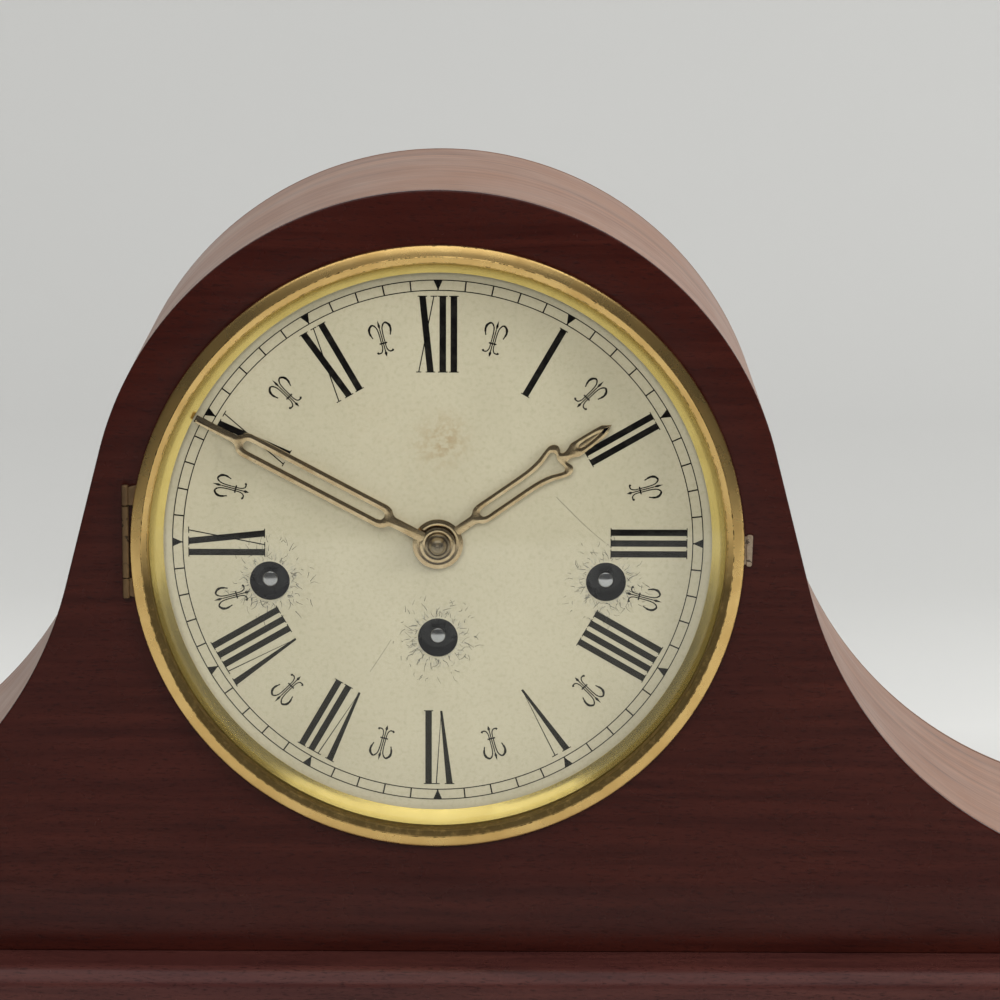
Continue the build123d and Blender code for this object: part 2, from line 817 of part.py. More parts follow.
def fly(train):
    place = fly_places[train]
    vane_y = between_y + fly_front
    vane = slab(Pos(*place) * Rectangle(2 * fly_half_width, fly_thickness), vane_y, vane_y + fly_length)
    leaves = pinion(fly_leaves, second_module, place, second_places[train], *meeting(rear_y))
    return vane + leaves + arbor(place)


# Movement frame
# A strap with round ends from one point to another
def strap(start, end, width):
    length = hypot(end[0] - start[0], end[1] - start[1])
    shank = Pos((start[0] + end[0]) / 2, (start[1] + end[1]) / 2)
    shank *= Rot(0, 0, -lean_to(start, end))
    return shank * Rectangle(width, length) + Pos(*start) * Circle(width / 2) + Pos(*end) * Circle(width / 2)


def plate_outline(straps):
    half = plate_half_width
    outline = polygon(mirrored([
        (half - plate_bottom_cut, plate_bottom),
        (half, plate_bottom + plate_bottom_cut),
        (half, plate_top - plate_top_cut),
        (half - plate_top_cut, plate_top),
    ]))
    for start, end in straps:
        outline += strap(start, end, lug_width)
    for place in arbor_places:
        outline -= Pos(*place) * Circle(arbor_radius + running_gap)
    for place in winding_places.values():
        outline -= Pos(*place) * Circle(winding_radius + running_gap)
    for place in pillar_list():
        outline -= Pos(*place) * Circle(rivet_radius + running_gap)
    return outline


def front_plate():
    plate = slab(plate_outline(lug_list()), front_plate_y, between_y)
    for _, pad in lug_list():
        plate += disc(lug_width / 2, panel_thickness, front_plate_y, pad)
        plate -= disc(screw_radius + screw_hole_gap, panel_thickness, between_y, pad)
    for train in winding_places:
        plate += disc(click_post, ratchet_y, front_plate_y, click_point(train, (click_reach, ratchet_root)))
    return plate + disc(minute_post, hour_wheel_y - leaf_overhang, front_plate_y, minute_wheel_place)


def back_plate():
    root = (hammer_pivot[0] - lug_width, hammer_pivot[1] + 2 * lug_width)
    outline = plate_outline([(root, hammer_pivot)])
    outline -= Pos(*hammer_pivot) * Circle(hammer_pivot_radius + running_gap)
    return slab(outline, back_plate_y, behind_y)


def plate_pillars():
    pillars = []
    for place in pillar_list():
        shank = disc(pillar_radius, between_y, back_plate_y, place)
        pillars.append(shank + disc(rivet_radius, front_plate_y, behind_y, place))
    return group(pillars)


def movement_screws():
    screws = []
    for _, pad in lug_list():
        shank = disc(screw_radius, panel_thickness - screw_bite, between_y, pad)
        screws.append(shank + disc(screw_head_radius, between_y, between_y + screw_head_length, pad))
    return group(screws)


# Escapement and pendulum
swing_y = behind_y + pendulum_gap
bob_z = anchor_place[1] - pendulum_length
nut_top = bob_z - bob_radius - rating_gap


def anchor():
    near = escape_tip + pallet_gap
    outline = polygon(mirrored([
        (0, anchor_place[1] + anchor_boss),
        polar(near + 2 * anchor_boss, pallet_lean, escape_place),
        polar(near, pallet_lean, escape_place),
        polar(near + anchor_boss, pallet_lean - pallet_arc, escape_place),
        (0, anchor_place[1] - anchor_boss),
    ]))
    crutch_y = behind_y + crutch_gap
    crutch_back = crutch_y + crutch_thickness
    fork_z = anchor_place[1] - crutch_drop
    fork_x = rod_radius + fork_gap + fork_radius
    body = slab(outline, escape_y, escape_y + wheel_thickness)
    body += disc(arbor_radius, front_plate_y, crutch_back, anchor_place)
    body += slab(strap(anchor_place, (0, fork_z), crutch_width), crutch_y, crutch_back)
    body += slab(strap((-fork_x, fork_z), (fork_x, fork_z), crutch_width), crutch_y, crutch_back)
    for side in (1, -1):
        body += disc(fork_radius, crutch_back, swing_y + fork_reach, (side * fork_x, fork_z))
    return body


def suspension_cock():
    low = anchor_place[1] + cock_clear
    back = swing_y + suspension_width
    body = block((-cock_width / 2, cock_width / 2), (behind_y, back), (low, low + cock_height))
    half = suspension_width / 2 + knuckle_gap
    slot = (-cock_slot / 2, cock_slot / 2)
    return body - block(slot, (swing_y - half, swing_y + half), (low, low + cock_height))


def pendulum_rod():
    joint_z = anchor_place[1] - suspension_length / 2
    rod = upright(rod_radius, nut_top - rating_height - thread_reach, joint_z + rod_radius, 0, swing_y)
    half = suspension_thickness / 2
    strip_y = (swing_y - suspension_width / 2, swing_y + suspension_width / 2)
    return rod + block((-half, half), strip_y, (joint_z, anchor_place[1] + suspension_length))


def pendulum_bob():
    bob = disc(bob_radius, swing_y - bob_thickness / 2, swing_y + bob_thickness / 2, (0, bob_z))
    bob = fillet(bob.edges(), bob_thickness / 4)
    return bob - upright(rod_radius + running_gap, bob_z - bob_radius, bob_z + bob_radius, 0, swing_y)


def rating_nut():
    low = nut_top - rating_height
    bore = upright(rod_radius + running_gap, low, nut_top, 0, swing_y)
    return upright(rating_radius, low, nut_top, 0, swing_y) - bore


# Chime drum, hammers and rods
rod_z = hammer_head[1] - hammer_head_length / 2 - rod_gap - chime_rod_radius


def chime_drum():
    place = second_places["chime"]
    y_span = (hammer_ys[0] - hammer_pitch / 2, hammer_ys[-1] + hammer_pitch / 2)
    drum = disc(drum_radius, *y_span, place) + disc(2 * arbor_radius, behind_y, y_span[0], place)
    for k, y in enumerate(hammer_ys):
        for pin in range(drum_pin_count):
            lean = (pin + k / hammer_count) * 360 / drum_pin_count
            reach = drum_radius + drum_pin_stand
            middle_place = polar(reach / 2, lean, place)
            turn = Pos(middle_place[0], y, middle_place[1]) * Rot(0, lean, 0)
            drum += turn * Cylinder(drum_pin_radius, reach)
    return drum


def hammer(k):
    y_span = (hammer_ys[k] - hammer_thickness / 2, hammer_ys[k] + hammer_thickness / 2)
    drum_place = second_places["chime"]
    clear = drum_radius + drum_pin_stand + tail_clear + hammer_strip / 2
    away = hypot(drum_place[0] - hammer_pivot[0], drum_place[1] - hammer_pivot[1])
    tail = polar(away - clear, lean_to(hammer_pivot, drum_place), hammer_pivot)
    outline = strap(hammer_pivot, tail, hammer_strip) + strap(hammer_pivot, hammer_head, hammer_strip)
    outline += Pos(*hammer_pivot) * Circle(2 * hammer_pivot_radius)
    outline -= Pos(*hammer_pivot) * Circle(hammer_pivot_radius + running_gap)
    x, z = hammer_head
    half = hammer_head_length / 2
    head = upright(hammer_head_radius, z - half, z + half, x, hammer_ys[k])
    return slab(outline, *y_span) + head


def hammer_arbor():
    return disc(hammer_pivot_radius, back_plate_y, hammer_ys[-1] + hammer_pitch / 2, hammer_pivot)


def across(radius, x_low, x_high, y, z):
    return Pos((x_low + x_high) / 2, y, z) * Rot(0, 90, 0) * Cylinder(radius, x_high - x_low)


def rod_block():
    y_span = (hammer_ys[0] - rod_block_edge, hammer_ys[-1] + rod_block_edge)
    z_span = (-body_drop, rod_block_height - body_drop)
    body = block((rod_block_x - rod_block_length, rod_block_x), y_span, z_span)
    depth = rod_block_x - rod_block_length / 2
    for y in hammer_ys:
        body -= across(chime_rod_radius + running_gap, depth, rod_block_x, y, rod_z)
    return body


def chime_rods():
    start = rod_block_x - rod_block_length / 2
    ends = [rod_block_x + chime_rod_first - k * chime_rod_step for k in range(hammer_count)]
    return group([across(chime_rod_radius, start, end, y, rod_z) for end, y in zip(ends, hammer_ys)])


# Back door, its hinge and its turn button
door_front = body_depth + door_gap
door_back = door_front + door_thickness
door_hinge_y = door_back + leaf_thickness


def back_door():
    door = disc(door_radius, door_front, door_back)
    return fillet(door.edges().group_by(Axis.Y)[-1], door_thickness / 4)


def door_leaf():
    inner_end = door_leaf_half + knuckle_gap
    spans = [(inner_end, door_hinge_half), (-door_hinge_half, -inner_end)]
    near = door_hinge_x + door_hinge_radius + 2 * knuckle_gap
    far = door_hinge_x + door_leaf_reach
    leaf = block((near, far), (door_back, door_hinge_y), (-door_hinge_half, door_hinge_half))
    for span in spans:
        leaf += block((door_hinge_x, far), (door_back, door_hinge_y), span)
        leaf += upright(door_hinge_radius, *span, door_hinge_x, door_hinge_y)
    bore = (hinge_pin_radius + running_gap, -door_hinge_half, door_hinge_half)
    return leaf - upright(*bore, door_hinge_x, door_hinge_y)


def door_hinge_leaf():
    span = (-door_leaf_half, door_leaf_half)
    web = (door_hinge_x - leaf_thickness, door_hinge_x)
    leaf = upright(door_hinge_radius, *span, door_hinge_x, door_hinge_y)
    leaf += block(web, (body_depth, door_hinge_y), span)
    flat_y = (body_depth, body_depth + leaf_thickness)
    leaf += block((door_hinge_x - case_leaf_reach, door_hinge_x), flat_y, span)
    return leaf - upright(hinge_pin_radius + running_gap, *span, door_hinge_x, door_hinge_y)


def door_hinge_pin():
    return upright(hinge_pin_radius, -door_hinge_half, door_hinge_half, door_hinge_x, door_hinge_y)


def door_button():
    bar_y = door_back + door_gap
    place = (button_x, 0)
    ends = ((button_x, -button_half_length), (button_x, button_half_length))
    body = disc(button_boss, body_depth, bar_y, place)
    return body + slab(strap(*ends, 2 * button_half_width), bar_y, bar_y + button_thickness)


# Build and save every piece
os.makedirs("parts", exist_ok=True)
case_makers = [front_panel, back_panel, top_skin, base_board, feet, corner_blocks]
bezel_makers = [bezel_ring, bezel_hinge_leaf, bezel_hinge_pin, bezel_glass, sight_ring]
dial_makers = [dial_plate, hour_hand, minute_hand, hand_nut, cannon_pinion, minute_wheel, hour_wheel]
frame_makers = [front_plate, back_plate, plate_pillars, movement_screws]
going_makers = [centre_arbor, intermediate_wheel, third_wheel, escape_wheel, anchor]
pendulum_makers = [suspension_cock, pendulum_rod, pendulum_bob, rating_nut]
chime_makers = [chime_drum, hammer_arbor, rod_block, chime_rods]
door_makers = [back_door, door_leaf, door_hinge_leaf, door_hinge_pin, door_button]
for maker in case_makers + bezel_makers + dial_makers + frame_makers:
    save(maker.__name__, maker())
for maker in going_makers + pendulum_makers + chime_makers + door_makers:
    save(maker.__name__, maker())
for train in winding_places:
    save(f"{train}_barrel", barrel(train))
    save(f"{train}_mainspring", mainspring(train))
    save(f"{train}_winding_arbor", winding_arbor(train))
    save(f"{train}_click", click(train))
for train in second_places:
    save(f"{train}_wheel", second_wheel(train))
    save(f"{train}_fly", fly(train))
for k in range(hammer_count):
    save(f"hammer_{k + 1}", hammer(k))
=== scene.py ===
import bpy
import bmesh
import json
import random
from math import cos, hypot, pi, radians, sin, sqrt
from mathutils import Euler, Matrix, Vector


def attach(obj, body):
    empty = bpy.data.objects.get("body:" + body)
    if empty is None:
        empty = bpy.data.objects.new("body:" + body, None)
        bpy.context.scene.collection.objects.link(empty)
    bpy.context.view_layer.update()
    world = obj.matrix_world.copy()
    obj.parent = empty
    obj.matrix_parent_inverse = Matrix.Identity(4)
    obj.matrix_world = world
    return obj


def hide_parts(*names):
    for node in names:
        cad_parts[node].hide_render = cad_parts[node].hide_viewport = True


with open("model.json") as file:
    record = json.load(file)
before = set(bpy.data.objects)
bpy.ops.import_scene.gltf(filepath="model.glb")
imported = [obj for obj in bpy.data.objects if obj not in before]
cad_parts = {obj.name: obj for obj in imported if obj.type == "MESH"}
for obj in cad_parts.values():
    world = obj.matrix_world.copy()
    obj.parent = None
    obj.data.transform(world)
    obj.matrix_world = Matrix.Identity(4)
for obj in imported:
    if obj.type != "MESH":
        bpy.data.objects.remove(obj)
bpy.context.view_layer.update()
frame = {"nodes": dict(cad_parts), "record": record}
mm = 0.001
faceY, dialZ = -45.4, 122.0  # front panel's face and dial centre in the row frame, mm
dialFace = 7.5  # dial's face behind the panel's face, mm
windingHoles = {"strike": (-42.8, -10.1), "chime": (42.8, -10.1), "time": (0.0, -24.8)}
weldDistance, keepApart, sliver = 1e-7, 1e-9, 1e-8  # m
print("frame loaded")


# Places given in mm about the dial centre, turned into row-frame metres
def place(x, y, z):
    return Vector((x * mm, (y + faceY) * mm, (z + dialZ) * mm))


# One node of a tree; inputs take a value or another node's output
def node(tree, kind, inputs=None, **settings):
    made = tree.nodes.new(kind)
    for key, value in settings.items():
        setattr(made, key, value)
    for key, value in (inputs or {}).items():
        if isinstance(value, bpy.types.NodeSocket):
            tree.links.new(value, made.inputs[key])
        else:
            made.inputs[key].default_value = value
    return made


def startMaterial(name):
    material = bpy.data.materials.new(name)
    material.use_nodes = True
    tree = material.node_tree
    tree.nodes.clear()
    output = node(tree, "ShaderNodeOutputMaterial")
    shader = node(tree, "ShaderNodeBsdfPrincipled")
    tree.links.new(shader.outputs[0], output.inputs[0])
    return material, tree, shader


def join(tree, source, shader, socket):
    tree.links.new(source, shader.inputs[socket])


# Two shaders by a share, as the material's last step
def endMixed(tree, share, first, second):
    mixed = node(tree, "ShaderNodeMixShader", {0: share, 1: first, 2: second})
    join(tree, mixed.outputs[0], tree.nodes["Material Output"], "Surface")


def objectPoint(tree):
    return node(tree, "ShaderNodeTexCoord").outputs["Object"]


def stretched(tree, source, scale, shift=(0.0, 0.0, 0.0)):
    inputs = {"Vector": source, "Scale": scale, "Location": shift}
    return node(tree, "ShaderNodeMapping", inputs).outputs[0]


def noise(tree, vector, scale, detail=4.0, roughness=0.55):
    inputs = {"Vector": vector, "Scale": scale, "Detail": detail, "Roughness": roughness}
    return node(tree, "ShaderNodeTexNoise", inputs).outputs[0]


def ramp(tree, value, low, high, fromValue=0.0, toValue=1.0):
    inputs = {0: value, 1: low, 2: high, 3: fromValue, 4: toValue}
    return node(tree, "ShaderNodeMapRange", inputs, clamp=True).outputs[0]


def maths(tree, operation, a, b=0.0):
    return node(tree, "ShaderNodeMath", {0: a, 1: b}, operation=operation).outputs[0]


def times(tree, a, b):
    return maths(tree, "MULTIPLY", a, b)


def vectorMaths(tree, operation, a, b=(0.0, 0.0, 0.0)):
    made = node(tree, "ShaderNodeVectorMath", {0: a, 1: b}, operation=operation)
    return made.outputs[1 if operation in ("LENGTH", "DISTANCE") else 0]


def axesOf(tree, vector):
    return node(tree, "ShaderNodeSeparateXYZ", {0: vector}).outputs


def vectorOf(tree, axes):
    return node(tree, "ShaderNodeCombineXYZ", axes).outputs[0]


def mixColour(tree, factor, a, b, blend="MIX"):
    made = node(tree, "ShaderNodeMix", data_type="RGBA", blend_type=blend)
    for key, value in ((0, factor), (6, a), (7, b)):
        if isinstance(value, bpy.types.NodeSocket):
            tree.links.new(value, made.inputs[key])
        else:
            made.inputs[key].default_value = (*value, 1.0) if key else value
    return made.outputs[2]


def bump(tree, height, strength, distance):
    inputs = {"Height": height, "Strength": strength, "Distance": distance}
    return node(tree, "ShaderNodeBump", inputs).outputs[0]


# Roughness that wanders about its middle value
def roughen(tree, shader, pattern, middle, less, more):
    join(tree, ramp(tree, pattern, 0.3, 0.7, middle - less, middle + more), shader, "Roughness")


# Stained wood: streaks along the grain, broad figure across it, and short dark pores
def woodMaterial(name, look):
    material, tree, shader = startMaterial(name)
    coords = node(tree, "ShaderNodeTexCoord")
    source = coords.outputs["UV" if look["uv"] else "Object"]
    waver = noise(tree, stretched(tree, source, look["figure"]), 1.0, 2.0)
    sway = times(tree, waver, look["waver"])
    warped = vectorMaths(tree, "ADD", source, vectorOf(tree, {0: sway, 1: sway, 2: sway}))
    streak = noise(tree, stretched(tree, warped, look["grain"]), 1.0, 7.0, 0.62)
    broad = noise(tree, stretched(tree, warped, look["figure"], (3.1, 1.7, 5.3)), 2.2, 3.0)
    pore = noise(tree, stretched(tree, warped, look["pore"]), 1.0, 2.0, 0.7)
    pores = ramp(tree, pore, 0.54, 0.68)
    colour = mixColour(tree, ramp(tree, streak, 0.3, 0.7), look["dark"], look["light"])
    broadShare = ramp(tree, broad, 0.3, 0.75, 0.0, 0.55)
    colour = mixColour(tree, broadShare, colour, look["figureColour"])
    colour = mixColour(tree, times(tree, pores, look["poreDepth"]), colour, look["poreColour"])
    join(tree, colour, shader, "Base Color")
    roughen(tree, shader, noise(tree, source, 38.0, 5.0), look["rough"], 0.05, 0.07)
    height = maths(tree, "SUBTRACT", times(tree, streak, 0.5), pores)
    join(tree, bump(tree, height, look["bump"], 0.0002), shader, "Normal")
    shader.inputs["Coat Weight"].default_value = look["coat"]
    shader.inputs["Coat Roughness"].default_value = look["coatRough"]
    shader.inputs["Specular IOR Level"].default_value = look["sheen"]
    return material


# Chips along some circles about the dial, and a darker groove that deepens towards the bottom
def chipsAndDarkGroove(tree, source, spots, look):
    about = axesOf(tree, stretched(tree, source, (1.0, 1.0, 1.0), -place(0.0, 0.0, 0.0)))
    away = vectorMaths(tree, "LENGTH", vectorOf(tree, {0: about[0], 2: about[2]}))
    tear = noise(tree, source, look["chipScale"], 5.0, 0.7)
    ahead = ramp(tree, about[1], -0.0004, 0.0, 1.0, 0.0)  # only what stands before the panel
    for radius, reach, least in look["chips"]:
        off = maths(tree, "ABSOLUTE", maths(tree, "SUBTRACT", away, radius * mm))
        near = ramp(tree, off, 0.0, reach * mm, 1.0, 0.0)
        chip = ramp(tree, times(tree, near, tear), least, least + 0.08)
        spots = maths(tree, "MAXIMUM", spots, times(tree, chip, ahead))
    inner, outer, top, low = (v * mm for v in look["darkGroove"])
    rising = ramp(tree, away, inner - 0.0001, inner)
    falling = ramp(tree, away, outer - 0.0001, outer + 0.0001, 1.0, 0.0)
    hang = ramp(tree, about[2], low, top, 1.0, 0.0)
    band = times(tree, times(tree, rising, falling), hang)
    # Darker colour in the groove, full below and fading out towards the top of the ring
    grooveDarkening = times(tree, band, ramp(tree, tear, 0.25, 0.5, 0.65, 0.95))
    return maths(tree, "MAXIMUM", spots, grooveDarkening)


# Worked metal: fine turning or drawing marks, cloudy tarnish and dark spots
def metalMaterial(name, look):
    material, tree, shader = startMaterial(name)
    source = objectPoint(tree)
    cloud = noise(tree, source, look["cloudScale"], 5.0, 0.6)
    spot = noise(tree, source, look["spotScale"], 3.0, 0.6)
    spots = ramp(tree, spot, look["spotAt"], look["spotAt"] + 0.05)
    fine = noise(tree, stretched(tree, source, look["marks"]), 1.0, 3.0, 0.7)
    colour = mixColour(tree, ramp(tree, cloud, 0.35, 0.75), look["colour"], look["tarnish"])
    if look["chips"]:
        spots = chipsAndDarkGroove(tree, source, spots, look)
    colour = mixColour(tree, times(tree, spots, look["spotDepth"]), colour, look["spotColour"])
    join(tree, colour, shader, "Base Color")
    shader.inputs["Metallic"].default_value = look["metallic"]
    polish = ramp(tree, cloud, 0.3, 0.7, look["rough"] - 0.04, look["rough"] + 0.06)
    join(tree, maths(tree, "ADD", polish, times(tree, spots, 0.3)), shader, "Roughness")
    join(tree, bump(tree, fine, look["bump"], 0.00005), shader, "Normal")
    return material


# Cream dial: mottled paint, brown stains, and key marks round each winding hole
def dialMaterial(name, look):
    material, tree, shader = startMaterial(name)
    source = objectPoint(tree)
    mottle = noise(tree, source, 26.0, 6.0, 0.6)
    speck = noise(tree, source, 900.0, 2.0, 0.6)
    patch = noise(tree, source, 420.0, 4.0, 0.65)
    colour = mixColour(tree, ramp(tree, mottle, 0.3, 0.7), look["cream"], look["shade"])
    colour = mixColour(tree, ramp(tree, speck, 0.48, 0.75, 0.0, 0.5), colour, look["speck"])
    drift = times(tree, maths(tree, "SUBTRACT", mottle, 0.5), 0.012)
    blotch = ramp(tree, patch, 0.44, 0.58, 0.15, 1.0)
    for x, z, radius, depth in look["stains"]:
        away = vectorMaths(tree, "DISTANCE", source, place(x, dialFace, z))
        torn = ramp(tree, maths(tree, "ADD", away, drift), 0.0, radius * mm, depth, 0.0)
        colour = mixColour(tree, times(tree, torn, blotch), colour, look["stainColour"])
    wear = 0.0
    for x, z in windingHoles.values():
        near = vectorMaths(tree, "SUBTRACT", source, place(x, dialFace, z))
        about = axesOf(tree, near)
        away = vectorMaths(tree, "LENGTH", near)
        turn = maths(tree, "ARCTAN2", about[0], about[2])
        ray = vectorOf(tree, {0: times(tree, turn, 9.0), 1: times(tree, away, 420.0)})
        mark = ramp(tree, noise(tree, ray, 1.6, 3.0, 0.75), 0.5, 0.66)
        fade = ramp(tree, away, 0.0052, look["wearReach"] * mm, 1.0, 0.0)
        wear = maths(tree, "MAXIMUM", wear, times(tree, mark, fade))
    colour = mixColour(tree, times(tree, wear, look["wearDepth"]), colour, look["wearColour"])
    join(tree, colour, shader, "Base Color")
    roughen(tree, shader, mottle, look["rough"], 0.05, 0.08)
    join(tree, bump(tree, maths(tree, "SUBTRACT", speck, wear), 0.12, 0.00005), shader, "Normal")
    shader.inputs["Specular IOR Level"].default_value = look["sheen"]
    return material


# Printed ink, thin in places, and paler towards the foot of the dial, a painted reflection of the
# bright floor in the glass
def inkMaterial(name, look):
    material, tree, shader = startMaterial(name)
    source = objectPoint(tree)
    thin = noise(tree, source, 480.0, 4.0, 0.65)
    height = axesOf(tree, source)[2]
    # Painted reflection: below the dial centre the ink turns paler, as the glass shows the bright
    # floor there
    fade = ramp(tree, height, (dialZ - 20.0) * mm, (dialZ + 5.0) * mm, 1.0, 0.0)
    colour = mixColour(tree, fade, look["ink"], look["reflectionPale"])
    colour = mixColour(tree, ramp(tree, thin, 0.45, 0.75), colour, look["thin"])
    join(tree, colour, shader, "Base Color")
    roughen(tree, shader, thin, look["rough"], 0.06, 0.06)
    shader.inputs["Specular IOR Level"].default_value = look["sheen"]
    return material


# Clear glass: mostly see-through, with a soft reflection on its outer faces and faint smears
def glassMaterial(name, look):
    material, tree, shader = startMaterial(name)
    tree.nodes.remove(shader)
    smear = noise(tree, stretched(tree, objectPoint(tree), look["smearScale"]), 1.0, 5.0, 0.6)
    clear = node(tree, "ShaderNodeBsdfTransparent")
    tint = mixColour(tree, ramp(tree, smear, 0.4, 0.8), look["clear"], look["smear"])
    join(tree, tint, clear, 0)
    gloss = node(tree, "ShaderNodeBsdfGlossy", {"Color": (1.0, 1.0, 1.0, 1.0)})
    polish = ramp(tree, smear, 0.35, 0.75, look["rough"], look["rough"] + 0.04)
    join(tree, polish, gloss, "Roughness")
    fresnel = node(tree, "ShaderNodeFresnel", {"IOR": look["ior"]}).outputs[0]
    inside = node(tree, "ShaderNodeNewGeometry").outputs["Backfacing"]
    share = times(tree, fresnel, ramp(tree, inside, 0.0, 1.0, look["reflect"], 0.0))
    endMixed(tree, share, clear.outputs[0], gloss.outputs[0])
    return material


# Matted fibres
def feltMaterial(name, look):
    material, tree, shader = startMaterial(name)
    fibre = noise(tree, objectPoint(tree), 1400.0, 4.0, 0.75)
    colour = mixColour(tree, ramp(tree, fibre, 0.3, 0.7), look["dark"], look["light"])
    join(tree, colour, shader, "Base Color")
    shader.inputs["Roughness"].default_value = look["rough"]
    join(tree, bump(tree, fibre, 0.6, 0.0003), shader, "Normal")
    return material


mahogany = {"uv": False, "grain": (22.0, 300.0, 420.0), "figure": (6.0, 9.0, 16.0),
            "pore": (480.0, 1800.0, 2400.0), "waver": 0.008, "dark": (0.020, 0.0037, 0.0025),
            "light": (0.042, 0.0087, 0.0054), "figureColour": (0.027, 0.0049, 0.0037),
            "poreColour": (0.009, 0.0024, 0.0021), "poreDepth": 0.6, "rough": 0.25,
            "bump": 0.12, "coat": 0.0, "coatRough": 0.3, "sheen": 0.22}
veneer = {**mahogany, "uv": True, "grain": (9.0, 260.0, 1.0), "figure": (5.0, 34.0, 1.0),
          "pore": (14.0, 330.0, 1.0), "dark": (0.15, 0.073, 0.044),
          "light": (0.325, 0.165, 0.099), "figureColour": (0.205, 0.097, 0.06),
          "poreColour": (0.09, 0.04, 0.028), "poreDepth": 0.75, "rough": 0.4, "coat": 0.06,
          "coatRough": 0.3, "sheen": 0.35}
baseWood = {**mahogany, "dark": (0.03, 0.009, 0.008), "light": (0.07, 0.022, 0.017),
            "figureColour": (0.045, 0.013, 0.012)}
backWood = {**mahogany, "dark": (0.09, 0.035, 0.018), "light": (0.17, 0.075, 0.038),
            "figureColour": (0.12, 0.05, 0.025), "rough": 0.55, "coat": 0.05}
plainWood = {**backWood, "dark": (0.36, 0.23, 0.12), "light": (0.55, 0.38, 0.22),
             "figureColour": (0.45, 0.3, 0.16), "rough": 0.65, "coat": 0.0}
brass = {"colour": (0.80, 0.55, 0.21), "tarnish": (0.66, 0.42, 0.14),
         "spotColour": (0.13, 0.07, 0.03), "cloudScale": 90.0, "spotScale": 420.0,
         "spotAt": 0.72, "spotDepth": 0.85, "marks": (900.0, 900.0, 900.0), "rough": 0.3,
         "metallic": 1.0, "bump": 0.05, "chips": []}
# Chips: radius, reach and least noise; dark groove: inner and outer radius, where it thins and is
# full
bezelBrass = {**brass, "colour": (0.88, 0.60, 0.23), "tarnish": (0.74, 0.47, 0.16),
              "spotColour": (0.06, 0.043, 0.016), "rough": 0.27, "chipScale": 700.0,
              "chips": [(73.2, 0.4, 0.45), (74.7, 0.6, 0.44), (77.3, 0.6, 0.5)],
              "darkGroove": (72.0, 74.55, 4.0, -10.0)}
sightBrass = {**brass, "colour": (0.92, 0.72, 0.25), "tarnish": (0.84, 0.64, 0.20),
              "spotAt": 0.76, "rough": 0.2, "metallic": 0.92}
hingeBrass = {**brass, "colour": (0.20, 0.125, 0.06), "tarnish": (0.11, 0.065, 0.035),
              "spotColour": (0.03, 0.02, 0.015), "spotAt": 0.6, "rough": 0.45, "metallic": 0.8}
tabBrass = {**brass, "colour": (0.47, 0.37, 0.27), "tarnish": (0.24, 0.17, 0.11),
            "spotColour": (0.06, 0.04, 0.03), "spotAt": 0.56, "cloudScale": 600.0,
            "spotScale": 900.0, "rough": 0.5, "metallic": 0.7, "bump": 0.3}
handGilt = {**brass, "colour": (0.87, 0.69, 0.43), "tarnish": (0.66, 0.47, 0.25),
            "cloudScale": 260.0, "spotAt": 0.7, "rough": 0.17, "bump": 0.015}
nutMetal = {**brass, "colour": (0.44, 0.36, 0.24), "tarnish": (0.30, 0.23, 0.15), "rough": 0.3,
            "bump": 0.02}
# Near-black steel for the winding arbors and ratchets: painted shade, so the dial holes read dark
holeShadeSteel = {**brass, "colour": (0.016, 0.016, 0.018), "tarnish": (0.010, 0.010, 0.011),
              "spotColour": (0.03, 0.02, 0.015), "rough": 0.22, "metallic": 0.2}
trainBrass = {**brass, "colour": (0.74, 0.56, 0.25), "tarnish": (0.62, 0.44, 0.17),
              "spotAt": 0.72, "rough": 0.33}
steel = {**brass, "colour": (0.50, 0.50, 0.51), "tarnish": (0.38, 0.38, 0.39),
         "spotColour": (0.14, 0.09, 0.06), "spotAt": 0.7, "rough": 0.32}
iron = {**brass, "colour": (0.035, 0.035, 0.037), "tarnish": (0.05, 0.048, 0.046),
        "spotColour": (0.08, 0.04, 0.025), "metallic": 0.0, "rough": 0.5, "bump": 0.3,
        "spotScale": 260.0}
rodBronze = {**brass, "colour": (0.60, 0.42, 0.22), "tarnish": (0.48, 0.30, 0.14), "rough": 0.36}
polishedSteel = {**steel, "colour": (0.66, 0.66, 0.67), "tarnish": (0.56, 0.56, 0.56),
                 "spotAt": 0.8, "rough": 0.13, "bump": 0.0}
bobBrass = {**brass, "rough": 0.2}
# Stains: x, z, radius and depth
dialPaint = {"cream": (0.551, 0.50, 0.362), "shade": (0.503, 0.453, 0.323),
             "speck": (0.41, 0.365, 0.245), "rough": 0.35, "sheen": 0.4,
             "stains": [(1.0, 26.0, 9.0, 0.75), (-3.0, 23.0, 22.0, 0.1),
                        (-20.0, 33.0, 12.0, 0.08)],
             "stainColour": (0.36, 0.25, 0.12), "wearReach": 9.5, "wearDepth": 0.6,
             "wearColour": (0.25, 0.25, 0.265)}
dialInk = {"ink": (0.0025, 0.002, 0.0015), "reflectionPale": (0.014, 0.0125, 0.0075),
           "thin": (0.02, 0.018, 0.014), "rough": 0.45, "sheen": 0.1}
scratchInk = {"ink": (0.022, 0.022, 0.026), "reflectionPale": (0.022, 0.022, 0.026),
              "thin": (0.12, 0.12, 0.115), "rough": 0.5, "sheen": 0.2}
clearGlass = {"clear": (0.985, 0.99, 0.985), "smear": (0.955, 0.96, 0.95),
              "smearScale": (40.0, 40.0, 14.0), "rough": 0.015, "ior": 1.5, "reflect": 1.05}
greenFelt = {"dark": (0.02, 0.045, 0.028), "light": (0.05, 0.1, 0.065), "rough": 0.95}

